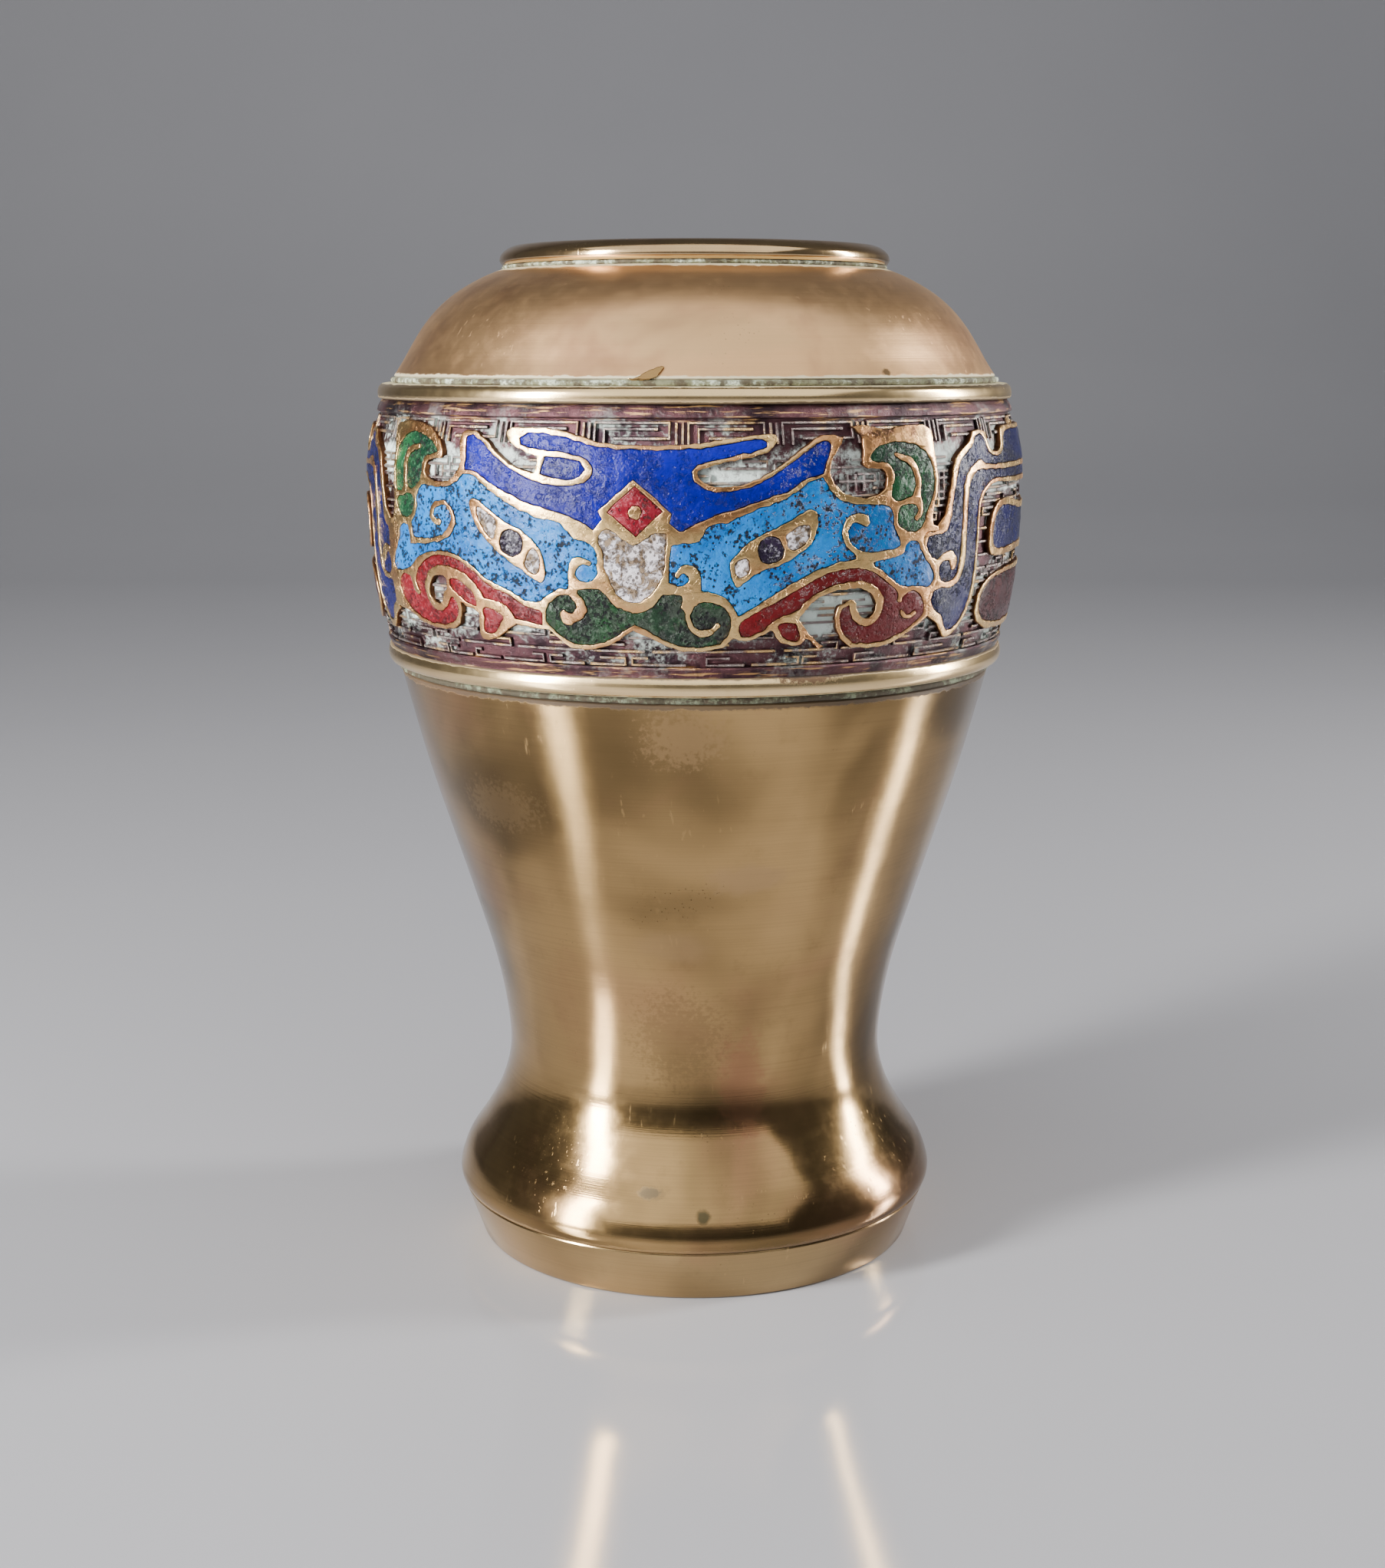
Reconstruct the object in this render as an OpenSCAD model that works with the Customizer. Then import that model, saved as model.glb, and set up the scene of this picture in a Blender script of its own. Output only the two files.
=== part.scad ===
// Champleve vase: a turned brass foot, body, shoulder and lip, joined by beaded
// rings to a cast barrel band whose cells are filled with coloured enamel.
// Two animal masks (front and back) and two arched side panels go round the band.

/* [Foot and body] */
// Radius of the foot where it stands
foot_r = 33.5; // [32:0.5:35]
// Height of the crisp edge round the foot
foot_h = 8; // [7:0.5:9]
// Thickness of the turned brass walls
wall_t = 1.5; // [1.2:0.1:2]
// Thickness of the disc that closes the foot
base_t = 1.5; // [1:0.1:2.5]
// Height of the disc above the table
base_z = 3; // [2:0.5:4]

/* [Band] */
// Depth of the cells below the tops of their walls
cell_depth = 0.9; // [0.6:0.05:1.1]
// How far the enamel lies below the tops of the walls
enamel_drop = 0.1; // [0.05:0.05:0.3]
// Thickness of the cast band behind the cells
band_t = 1.6; // [1.2:0.1:2]
// Height of the plain borders above and below the fret ground
border_h = 1.5; // [1:0.1:2]
// Angle of the front mask's nose line, round to the right from the front
mask_axis = -9.5; // [-15:0.5:15]

/* [Rings and lip] */
// Radius of the lower bead at its crest
lower_bead_r = 46.2; // [45.8:0.1:46.8]
// Radius of the upper bead at its crest
upper_bead_r = 46.7; // [46.4:0.1:47.2]
// Radius of the mouth
mouth_r = 24; // [22:0.5:24.5]
// Radius of the lip's outer edge
lip_r = 28.6; // [28:0.1:29.2]
// Height of the whole vase
vase_h = 150; // [149.5:0.1:150.5]

/* [Hidden] */
$fn = 96;
steps = 2;              // spline steps between two points of a cell's outline
profile_steps = 4;      // spline steps between two points of a turned profile
body_top = 88.9;        // top edge of the turned body
bead_z = 89.8;          // underside of the lower bead
band_z = 92.6;          // bottom of the band
band_top = 128.2;       // top of the band, underside of the upper bead
bead_top = 130.5;       // top of the upper bead
dome_z = 131.3;         // bottom edge of the shoulder
dome_top = 146.6;       // flat rim of the shoulder under the lip
lip_z = 147.2;          // underside of the lip
border_drop = 0.15;     // how far the borders lie below the tops of the walls
border_slope = 0.2;     // height of the slope from a border down to the ground
flange_t = 1.6;         // thickness of the band's inner flanges
sleeve_low_r = 43.9;    // outside of the band's lower sleeve
sleeve_high_r = 43.6;   // outside of the band's upper sleeve
sleeve_t = 1.2;         // thickness of both sleeves
foot_in_r = 30.5;       // inside of the foot ring
foot_edge_r = 36.3;     // crisp edge at the top of the foot ring
seam_r = 44.8;          // outside of both solder seams
collar_r = 25;          // outside of the lip's collar, which fits the shoulder's hole
collar_drop = 2;        // how far the collar reaches below the shoulder's rim
lip_base_r = lip_r - 0.3;       // outer edge of the lip's underside
dot_r = 1;              // brass dot in the diamond
pupil_r = 1.7;          // pupil of each eye
half_turn = 180;        // from a front or right motif to its twin across the vase
mask_half = 52;         // half the angle that a mask covers
panel_half = 90 - mask_half;
side_axis = mask_axis + 90;     // middle of the right side panel
reach = 80;             // further out than any piece

// ---- Profiles of revolution: points are [radius, height] ----
BODY = [
    [36.4, foot_h], [36.8, 9.4], [36.6, 11], [35.4, 14], [32.7, 18], [30.1, 23], [28.7, 29],
    [29.2, 36], [30.8, 44], [33.5, 53], [36.7, 63], [40.2, 74], [43.2, 85], [44.2, body_top]
];
DOME = [
    [44.3, dome_z], [42.9, 133.6], [41.5, 136], [39.9, 138.5], [37.8, 141],
    [35.2, 143.2], [32.2, 145], [29.8, 146.1], [28.4, dome_top]
];
// The lip's rounded outside, from its underside over to the mouth
LIP = [
    [lip_base_r, lip_z], [lip_r, lip_z + 0.7], [lip_r - 0.4, lip_z + 1.6],
    [lip_r - 1.3, vase_h - 0.4], [lip_r - 2.4, vase_h], [mouth_r + 0.7, vase_h - 0.3],
    [mouth_r, vase_h - 1]
];
// A bead's section: [depth below its crest, share of its height]
BEAD = [[0.9, 0], [0.2, 0.25], [0, 0.5], [0.25, 0.78], [0.9, 1]];
// Radius of the cell walls' tops, by height
BARREL = [
    [band_z, 45.9], [98, 47.3], [104, 48.2], [113, 48.7],
    [119.5, 48.6], [124, 47.8], [band_top, 46.5]
];

function barrel_r(z) = lookup(z, BARREL);

// ---- Splines ----
function near(p, i) = p[max(0, min(len(p) - 1, i))];
function around(p, i) = p[(i + len(p)) % len(p)];
function spline(a, b, c, d, t) =
    0.5 * (2 * b + (c - a) * t + (2 * a - 5 * b + 4 * c - d) * t * t
    + (3 * b - a - 3 * c + d) * t * t * t);
// A curve through an open row of points; two points stay a straight line
function curve(p, n = steps) = len(p) < 3 ? p : [
    for (i = [0 : len(p) - 2], k = [0 : n - 1])
        spline(near(p, i - 1), p[i], p[i + 1], near(p, i + 2), k / n),
    p[len(p) - 1]
];
// A closed curve through a ring of points
function loop(p) = [
    for (i = [0 : len(p) - 1], k = [0 : steps - 1])
        spline(around(p, i - 1), p[i], around(p, i + 1), around(p, i + 2), k / steps)
];
// A closed outline: one run is a smooth loop, several runs meet at corners
function outline(runs) = len(runs) == 1 ? loop(runs[0]) : [for (r = runs) each curve(r)];
// A run turned over about the angle m, a run backwards, and both
function mirrored(p, m) = [for (q = p) [2 * m - q[0], q[1]]];
function backwards(p) = [for (i = [len(p) - 1 : -1 : 0]) p[i]];
function flip(p, m) = backwards(mirrored(p, m));
// Points inside a wall of thickness t, square to its profile or level with it
function along(p, i) = near(p, i + 1) - near(p, i - 1);
function square_in(p, i, t) = p[i] + t * [-along(p, i)[1], along(p, i)[0]] / norm(along(p, i));
function level_in(p, i, t) = p[i] - [t * norm(along(p, i)) / abs(along(p, i)[1]), 0];
// The inside of a wall from its last point back to its first, between two heights
function inside(p, t, low, high) = [
    for (i = [len(p) - 1 : -1 : 0])
        let (q = square_in(p, i, t)) if (q[1] > low && q[1] < high) q
];

// ---- The masks' drawing: points are [degrees round from the front, height] ----
// The straight joint between a mask and the panel on its right
SHARED = [[mask_axis + mask_half, 112.2], [mask_axis + mask_half, 99.8]];
MASK = [
    [[-8, 123.2], [-4, 123.2], [0, 123.4], [4, 123.8], [8, 124.3], [11, 124.6], [12.9, 124.5]],
    [[12.4, 123.3], [11.7, 122.3], [10, 121.7], [8, 121.3], [5, 120.8], [2, 120.2],
        [0.6, 119.5], [1.3, 118.6], [2.5, 118.1], [4, 117.9], [6, 118], [8.5, 118.5],
        [11, 119.5], [13.5, 120.8], [16, 122.2], [18, 123.3], [20, 124.2], [22, 124.5],
        [24.1, 124]],
    [[23.6, 123], [22.6, 122], [21.9, 121], [21.5, 119.8], [21.7, 118.7], [22.6, 117.7],
        [24, 116.8], [26, 116.4], [28, 116.3], [29.8, 116.7], [31, 117.5], [31.3, 118.6],
        [30.8, 119.4], [29.5, 119.7], [27.8, 119.8], [27, 120.3], [26.9, 121.3],
        [27.2, 122.6], [26.9, 124], [25.4, 125.3]],
    [[27.5, 125.6], [30, 125.4], [32.8, 125], [35, 125.4], [38, 125.6], [40.3, 125.4],
        [41.8, 124.4], [41.8, 123], [42, 120.5], [42.2, 118], [41.8, 115.5], [41.2, 113.5],
        [41.2, 112.3]],
    SHARED,
    [[41, 99.2], [39, 98.3], [36.5, 97.1], [34, 96.3], [31.5, 95.9], [29, 96], [26.2, 96.2]],
    [[24.5, 97.2], [23.4, 98.5], [22.9, 100], [23.1, 101.6], [24.1, 102.4], [25.4, 102.8],
        [26.6, 102.5], [26.7, 101.6], [27.4, 100.7], [28.6, 100.3], [29.7, 100.8],
        [30.1, 101.8], [29.5, 102.9], [28.3, 103.6], [26.8, 104], [25, 104.1],
        [22.5, 103.8], [20, 103.1], [18.2, 101.9], [16.9, 100.4]],
    [[18.3, 98.9], [20, 97.5], [21.4, 96.6]],
    [[20.4, 96.3], [19.2, 97], [18.2, 97.6]],
    [[17.4, 96.9], [15.5, 96.8], [13.8, 97.3], [12.8, 98.2], [12.2, 98.9]],
    [[11, 98.3], [9, 97.7], [7.4, 97.6], [6.2, 98]],
    [[4.9, 96.9], [3, 96.4], [1, 96.2], [-1.5, 96.2], [-4, 96.7], [-6.5, 97.7], [-9.8, 98.9]],
    [[-11, 98.3], [-13, 97.2], [-15.5, 96.5], [-18, 96.2], [-20.5, 96.4], [-22, 97.2],
        [-23.3, 98.3], [-25, 98.7], [-27.5, 98.8], [-30, 99.1]],
    [[-31.5, 98.4], [-33, 97.6], [-35, 96.8], [-37, 96.6], [-38.1, 97.1], [-38, 98.5],
        [-37.6, 100.2]],
    [[-38.6, 100.7], [-40, 101.1], [-41.2, 101.5]],
    [[-41.3, 100.8], [-41.5, 99.7], [-42.3, 98.6], [-43.8, 97.8], [-46, 97.5], [-49, 97.5],
        [-52, 97.9], [-55, 98.8], [-57.8, 99.3]],
    flip(SHARED, mask_axis),
    [[-60.2, 112.3], [-59.3, 113.6], [-59.2, 116], [-59.2, 119], [-59.4, 122],
        [-60.2, 124], [-60, 125.3], [-57, 125.8], [-53, 125.7], [-50, 125.3],
        [-47.5, 124.4], [-45.5, 123.2], [-44.5, 121.8], [-44.8, 120.8], [-47, 120.6],
        [-48.3, 120.2], [-48.9, 119.3], [-48.4, 118.5], [-47, 118], [-45, 117.9],
        [-43, 118.2], [-41.5, 119], [-40.6, 120], [-40.4, 121], [-40.8, 122.2],
        [-41, 123.2], [-40.7, 124.3], [-39.5, 124.9]],
    [[-38, 124.7], [-35.8, 123.9], [-34, 122.8], [-32.3, 121.6], [-30, 120.5],
        [-27.5, 119.8], [-25.8, 119.5]],
    [[-25.4, 120.3], [-25.3, 121.4]],
    [[-27, 121.8], [-29, 122.4], [-30.6, 123.3], [-31.4, 124.4], [-30.5, 125.2],
        [-27, 125.4], [-22, 125.1], [-18, 124.3], [-15, 123.6], [-11.5, 123.2]]
];
BROW = [
    [[-28.6, 123.8], [-26.5, 124.4], [-23, 124.2], [-19, 123.5], [-16, 122.8], [-13, 122.5],
        [-9.5, 122.4], [-5, 122.4], [0, 122.6], [4, 123], [8, 123.5], [10.2, 123.7],
        [11.1, 123.2], [10.3, 122.6], [8, 122.2], [5, 121.7], [2, 121.1], [0.3, 120.6],
        [-0.5, 119.9], [-0.4, 118.9], [0.4, 118], [2, 117.3], [4, 117.1], [6.5, 117.3],
        [9, 117.9], [11.5, 118.8], [14, 120.1], [16.5, 121.5], [18.5, 122.7], [20.3, 123.4],
        [21.6, 123.1], [21, 121.7], [20.4, 120.4], [20.2, 119.3]],
    [[17.5, 118.7], [15, 117.6], [12.5, 116.8], [9.5, 116], [6, 115], [3, 114.3],
        [1, 113.5], [-1, 112.6], [-2.3, 112.2]],
    [[-3.7, 113.2], [-3.4, 114.5]],
    [[-9.4, 118.9], [-15.1, 114.8]],
    [[-14.4, 113.6], [-15.8, 112.3]],
    [[-17, 113], [-19, 113.8], [-21.5, 114.5], [-25, 115.2], [-28, 116], [-31, 117],
        [-33.5, 117.9], [-35.3, 118.7], [-37.2, 119.4]],
    [[-39.3, 119.5], [-38.9, 121], [-39.1, 122.5], [-39.2, 123.7], [-38.3, 124],
        [-36.6, 123.5], [-34, 121.9], [-32, 120.8], [-29, 119.3], [-26, 118.3],
        [-22.5, 117.7], [-19.5, 117.7], [-17.1, 118.2], [-15.8, 119.2], [-15.8, 120.3],
        [-16.8, 121.3], [-19, 122], [-22.5, 122.4], [-26, 122.7], [-28.2, 123.1]]
];
BROW_INLAY = [
    [[-17.2, 119.9], [-18, 120.8], [-20.5, 121.2], [-23.8, 121.3]],
    [[-24.2, 120.3], [-24.6, 119.4]],
    [[-22, 118.8], [-19.5, 118.7], [-18, 119.1]]
];
FACE_RIGHT = [
    [[-3.6, 110.2], [-1.5, 110.4], [0.5, 110.6], [1.2, 111.3], [2, 112.3], [3, 112.9],
        [5, 113.1], [7, 113.8], [9.5, 114.7], [12.5, 115.6], [14.5, 116.3], [16.3, 117.3],
        [17.6, 118.3]],
    [[20.1, 118.9], [20.4, 118.2], [21.2, 117.1], [22.5, 116.1], [24.5, 115.4], [27, 115.1],
        [30, 115.1], [31.6, 114.8], [32.5, 113.9], [32.7, 112.9], [33, 111.8], [33.9, 110.6],
        [34.3, 109.8]],
    [[33.3, 109.4], [31, 109.2], [28.5, 109.1], [26.5, 109.5], [25.2, 110.3], [24.6, 111.4],
        [24.8, 112.4], [25.6, 112.9], [26.6, 112.6], [27.6, 112.2], [28.4, 112.5],
        [28.3, 113.4], [27.4, 114.1], [25.8, 114.3], [24.4, 113.8], [23.5, 112.6],
        [23.4, 111.2], [24, 109.9], [25, 109], [26, 108.3]],
    [[25, 108.1], [23.5, 108], [21.5, 107.6], [19, 106.9], [16.5, 105.8], [14, 104.7],
        [11.5, 103.5], [9, 102.2], [6.9, 101.1]],
    [[6.3, 102], [5.2, 103.3], [3.5, 104.2], [1.2, 104.5]],
    [[1.1, 105.4], [0.9, 106.7], [0, 107.7], [-1.2, 108], [-2.4, 107.5], [-3.1, 106.6],
        [-2.7, 106], [-1.9, 106.5], [-1.2, 106.3], [-1.1, 105.7], [-1.8, 105.3],
        [-2.8, 105.2], [-3.8, 105.5]],
    [[-3.9, 107.2], [-3.7, 108.7]]
];
FACE_LEFT = [
    [[-15.9, 109.8], [-17, 110.5], [-18.9, 110.8], [-20, 111.8], [-21.3, 112.7],
        [-23, 113.2], [-25.3, 113.4], [-27, 114], [-29, 114.6], [-31.5, 115.6],
        [-34, 116.8], [-36, 117.9], [-37.2, 118.9]],
    [[-39.5, 118.9], [-40.5, 118], [-42, 117.3], [-44.5, 116.9], [-47, 116.9],
        [-49, 117.1], [-50.4, 116.6], [-51.2, 115.6], [-51.2, 114.3], [-51.8, 113.2],
        [-52.8, 112.3], [-53.1, 111.3], [-53, 110.1]],
    [[-51, 110], [-49, 110.1], [-46.5, 110.4], [-44.5, 111], [-43, 112], [-42.6, 113.2],
        [-43.2, 114.1], [-44.5, 114.5], [-46, 114.1], [-46.7, 113.4], [-46.2, 112.9],
        [-45.2, 112.9], [-44.6, 112.4], [-45.2, 111.9], [-46.5, 111.8], [-47.6, 112.4],
        [-47.9, 113.4], [-47.3, 114.6], [-46, 115.3], [-44, 115.4], [-42.3, 114.5],
        [-41.4, 113.2], [-41.6, 111.7], [-42.8, 110.5], [-44.5, 109.8], [-47, 109.3],
        [-50, 109], [-54.2, 108.8]],
    [[-54.3, 110], [-54.5, 111.4]],
    [[-56, 111.4], [-57.3, 110.9], [-57.7, 109.8], [-58.8, 108.3], [-60, 107.1],
        [-60.6, 105.9], [-59.8, 105.1], [-57.5, 105.3], [-54.6, 105.9]],
    [[-52.3, 107.2], [-50, 108], [-47.5, 108.4], [-45, 108.5], [-42, 108.2], [-39.5, 107.5],
        [-37.5, 106.5], [-35.5, 105.4], [-33.5, 104.7], [-31, 104], [-29, 103.2],
        [-27.2, 102.6], [-25.7, 102.6], [-24.5, 103.2], [-23, 104], [-21.5, 104.5],
        [-20.3, 104.5]],
    [[-20.1, 105.2], [-20.3, 106.2], [-20.1, 107.4], [-19.4, 108.4], [-18.2, 108.8],
        [-16.9, 108.5], [-16.2, 107.8], [-16.5, 107.4], [-17.6, 107.5], [-18.5, 107],
        [-18.7, 106.3], [-18.1, 105.7], [-17, 105.5], [-16, 105.8], [-15.5, 106.6],
        [-15.4, 107.7], [-15.3, 108.8]]
];
FACE_TAIL = [[
    [29.5, 107.5], [31, 107.7], [33, 107.9], [35, 108.5], [35.5, 109.5], [36.5, 110],
    [37.8, 109.9], [38.4, 109.1], [39.2, 108.1], [40.4, 107], [41.4, 106], [41.6, 105],
    [41.2, 104.1], [40.3, 103.9], [38.5, 104.1], [36.5, 104.2], [34.8, 104.4],
    [33.3, 105.2], [31.5, 106.3], [29.8, 107.1]
]];
HORN_RIGHT = [
    [[28.4, 121.3], [29.6, 122.3], [31.5, 122.9], [34, 123.1], [36.5, 122.9], [38.8, 122.2],
        [40.2, 121], [41, 119.3], [41.2, 117.5], [40.8, 115.8], [40, 114.6], [39.4, 113.6],
        [39, 112.5], [38.2, 111.8], [36.8, 111.5], [35.2, 111.7], [34, 112.4],
        [33.6, 113.4], [33.9, 114.3], [34.9, 114.9], [36.2, 114.9], [37.4, 114.6],
        [37.5, 113.9], [37, 113.2], [37.4, 112.7], [38.3, 113.1], [38.9, 113.9],
        [38.9, 115], [38.4, 116.2], [38.3, 118.2], [37.8, 119.9], [36.5, 121.2],
        [34.6, 121.8], [33, 121.7], [33.5, 121.1], [35.3, 120.3], [36.6, 119.1],
        [37, 117.6], [36.4, 116.4], [35.2, 115.9], [33.5, 115.7], [32.4, 116.2],
        [32.6, 117.4], [33, 118.7], [32.6, 119.9], [31.6, 120.7], [30, 120.8]],
    [[29.2, 120.9], [28.6, 121]]
];
HORN_LEFT = [
    [[-58.4, 116.4], [-58.5, 118], [-58.4, 120], [-57.9, 122], [-56.5, 123.2],
        [-54.5, 124], [-52, 124], [-49.5, 123.5], [-47.5, 122.7], [-46.2, 121.8],
        [-47.3, 121.5], [-49, 121.2], [-49.9, 120.3], [-50, 119.2], [-50.3, 118.2],
        [-51, 117.4], [-52.3, 116.8], [-53.8, 116.8], [-54.3, 118], [-54.3, 119.5],
        [-53.9, 120.8], [-52.8, 121.5], [-51.4, 121.8], [-50.8, 122.3], [-51.5, 122.7],
        [-53.2, 122.6], [-54.8, 121.9], [-55.6, 120.5], [-55.7, 118.5], [-55.7, 116.9]],
    [[-56.3, 116.2], [-57.8, 116.1]]
];
HORN_LEFT_CURL = [[
    [-58, 114.9], [-57.5, 113.8], [-56.5, 112.9], [-54.8, 112.6], [-53.3, 113.2],
    [-52.4, 114.2], [-52.6, 115.3], [-54, 115.7], [-56, 115.4]
]];
CHIN = [
    [[-23.2, 99.1], [-24.2, 100], [-24.1, 101.3], [-23.2, 102.5], [-21.7, 103.3],
        [-20.2, 103.3], [-19.3, 102.6], [-19.2, 101.8], [-19.8, 101.3], [-20.6, 101.5],
        [-21.3, 101.7], [-21.9, 101.2], [-21.8, 100.3], [-21.2, 99.5], [-20.3, 99.4],
        [-19.3, 99.8], [-18.1, 100.2], [-17.3, 101], [-17.1, 102], [-17.6, 103.1],
        [-18.6, 104.1]],
    [[-17, 104.3], [-15, 104.4]],
    [[-14.1, 103.6], [-12.7, 102.2], [-10.8, 101.5], [-9, 101.3], [-7.3, 101.7],
        [-6, 102.6], [-4.9, 103.8]],
    [[-3.5, 103.8], [-2.2, 103.6], [-2.1, 102.8], [-2.4, 102.1], [-1.8, 101.6],
        [-1.6, 100.8], [-1.2, 99.6], [-0.3, 98.7], [1, 98.2], [2.5, 98.3], [3.5, 99],
        [4.1, 99.9], [3.5, 100.3], [2.8, 99.8], [2, 99.4], [0.9, 99.4], [0, 99.9],
        [-0.5, 100.7], [-0.4, 101.7], [0.4, 102.4], [1.6, 102.8], [3.2, 102.6],
        [4.6, 101.9], [5.4, 100.9], [5.6, 99.7], [5.1, 98.5], [4, 97.6], [2.5, 97.2],
        [0.5, 97], [-1.5, 97.1], [-3.8, 97.6], [-6, 98.5], [-7.8, 99.4], [-9.6, 99.9]],
    [[-11.3, 99.1], [-13.5, 97.9], [-15.5, 97.3], [-18, 97], [-20, 97.3], [-21.6, 98]]
];
WHISKER_RIGHT = [
    [[7.4, 100.2], [9.5, 101.2], [12, 102.3], [14.5, 103.4], [17, 104.6], [19.5, 105.7],
        [22, 106.4], [24.5, 106.7], [27, 106.7], [29, 106.2], [31, 105.3], [33, 104.1],
        [34.3, 103.2], [34.6, 102.2], [35.1, 101.9], [35.5, 102.5], [36.4, 103.1],
        [37.6, 103.3], [38.9, 102.9], [39.8, 102], [40.2, 100.8], [40, 99.8],
        [38.5, 99], [36.5, 98.1], [34, 97.3], [31, 96.8], [28.5, 96.8], [26.5, 97]],
    [[25, 98], [24, 99.1], [23.8, 100.4], [24, 101.6]],
    [[25.2, 101.9], [25.4, 101], [26.2, 99.8], [27.5, 99.1], [29, 98.9], [30.6, 99.6],
        [31.5, 100.8], [31.8, 102], [31.3, 103.3], [30, 104.4], [28.3, 105.1],
        [26.3, 105.3], [23.5, 105.1], [21, 104.5], [19, 103.7], [17.5, 102.7],
        [16, 101.6], [14, 101], [12.3, 100.3], [10.8, 99.2], [9, 98.5], [7.4, 98.4]],
    [[7.1, 99], [7.1, 99.6]]
];
WHISKER_HOOK = [[
    [35.3, 101], [35.7, 100.1], [36.8, 99.5], [38.1, 99.7], [38.7, 100.5], [37.9, 100.6],
    [36.8, 100.3], [36, 100.7]
]];
WHISKER_RIGHT_SEED = [[
    [13.5, 99.6], [13.9, 98.7], [14.8, 97.9], [16.2, 97.6], [16.9, 97.9], [16.6, 98.9],
    [16, 99.7], [14.7, 99.9]
]];
WHISKER_LEFT = [
    [[-25, 101], [-26.5, 101.4], [-28.3, 101.8], [-30.3, 102.7], [-32.5, 103.5],
        [-35, 104.2], [-37, 105.3], [-39, 106.5], [-41.5, 107.3], [-44, 107.7],
        [-46.5, 107.7], [-49, 107.1], [-51, 106.2], [-52.6, 105], [-53.1, 103.9],
        [-52.7, 103], [-52.1, 102.4], [-52.6, 101.8], [-53.6, 102.1], [-54.4, 102.9],
        [-54.8, 103.9], [-55.6, 104.4], [-57, 104.5], [-58.4, 104], [-59, 102.9],
        [-58.3, 101.5], [-56.2, 100], [-53, 98.8], [-50, 98.4], [-46.5, 98.4],
        [-44.3, 98.8], [-42.9, 99.6], [-42.4, 100.6], [-42.6, 101.6], [-43.4, 102.1],
        [-44.2, 101.6], [-45, 100.6], [-46.5, 100], [-48.2, 100.1], [-49.7, 101],
        [-50.5, 102.4], [-50.4, 103.9], [-49.3, 105.4], [-47.3, 106.3], [-44.5, 106.6],
        [-41.5, 106.2], [-39, 105.3], [-37.2, 104], [-36, 102.6]],
    [[-34, 102.4], [-32, 101.9], [-30.7, 101], [-30, 100.1]],
    [[-28, 99.7], [-25.2, 99.5]]
];
WHISKER_LEFT_CURL = [[
    [-37.9, 101.5], [-38.6, 102.9], [-39.8, 103.8], [-41.5, 104.5], [-43.2, 104.7],
    [-43.6, 104], [-42.6, 103.2], [-41, 102.3], [-39.4, 101.6]
]];
WHISKER_LEFT_SEED = [[
    [-36.3, 101], [-34.5, 100.9], [-32.8, 100.2], [-33.4, 99.2], [-34.7, 98.1],
    [-36.3, 97.8], [-36.6, 98.9], [-36.3, 100]
]];
// Bare ground inside the left whisker's spiral
WHISKER_LEFT_EYE = [[
    [-44.6, 104.6], [-46, 105], [-47.6, 104.7], [-48.9, 103.7], [-49.2, 102.5],
    [-48.4, 101.6], [-47, 101.3], [-46, 101.8], [-45.4, 102.9], [-44.5, 103.6]
]];
NOSE = [
    [[-14.8, 111.4], [-14, 112.1], [-12.9, 112], [-11.2, 110.9], [-9.2, 110.2],
        [-7.6, 110.9], [-6.2, 111.6], [-4.5, 111.7]],
    [[-4.4, 110.5], [-4.7, 109], [-4.8, 107.6], [-5.2, 106.2], [-6.2, 104.7],
        [-7.5, 103.6], [-9.3, 102.9], [-11, 103.2], [-12.2, 104.1], [-13, 105.3],
        [-13.7, 106.6], [-14.1, 108], [-14.2, 109.3], [-14.8, 110.3]]
];
DIAMOND = [[[-9.2, 117.8], [-5, 114.7]], [[-9.1, 111.5], [-13.4, 114.6]]];
DIAMOND_DOT = [-9.2, 114.5];
EYE_RIGHT = [[
    [5.3, 107.8], [5.6, 106.6], [6, 105.2], [6.9, 104.7], [8.8, 106.1], [11, 107],
    [13.5, 107.7], [16, 108.8], [18.2, 110.3], [19.2, 112], [19.4, 113.6], [18.9, 114.7],
    [17.6, 114.8], [16, 114.2], [14, 113.2], [12, 112.4], [10, 111.7], [8, 110.6],
    [6.4, 109.2]
]];
EYE_LEFT = [[
    [-38.2, 115.5], [-37.3, 116], [-35.5, 115.3], [-33, 113.9], [-30.5, 112.8],
    [-28, 111.9], [-26.3, 111], [-25, 109.8], [-24.1, 108.2], [-23.8, 106.8],
    [-24.2, 105.4], [-25.1, 104.9], [-26.3, 105.4], [-28.5, 106.6], [-31, 107.7],
    [-33.3, 109], [-35.5, 110.6], [-37.3, 112.4], [-38.1, 114.1]
]];
WHITES = [
    [[[14.4, 111.4], [15.4, 112.1], [16.8, 112.6], [17.8, 112.4], [17.9, 111.3],
        [17.2, 110.3], [15.8, 109.7], [14.6, 109.9], [14.3, 110.6]]],
    [[[6.1, 107.4], [6.8, 108.3], [7.9, 108.5], [8.3, 107.5], [8, 106.5], [7, 106.2],
        [6.3, 106.6]]],
    [[[-36.5, 114.5], [-35.8, 114.4], [-34.5, 113.8], [-33.1, 113.1], [-32.8, 112.4],
        [-33.2, 111.6], [-33.5, 110.8], [-34.4, 111.1], [-35.5, 112.2], [-36.3, 113.4]]],
    [[[-26.1, 109.5], [-25.3, 108.9], [-25, 107.8], [-25.3, 106.6], [-26.2, 106.3],
        [-27.2, 106.9], [-27.5, 107.7], [-26.8, 108.7]]]
];
PUPILS = [[11.8, 109.6], [-30, 110.1]];

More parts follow.
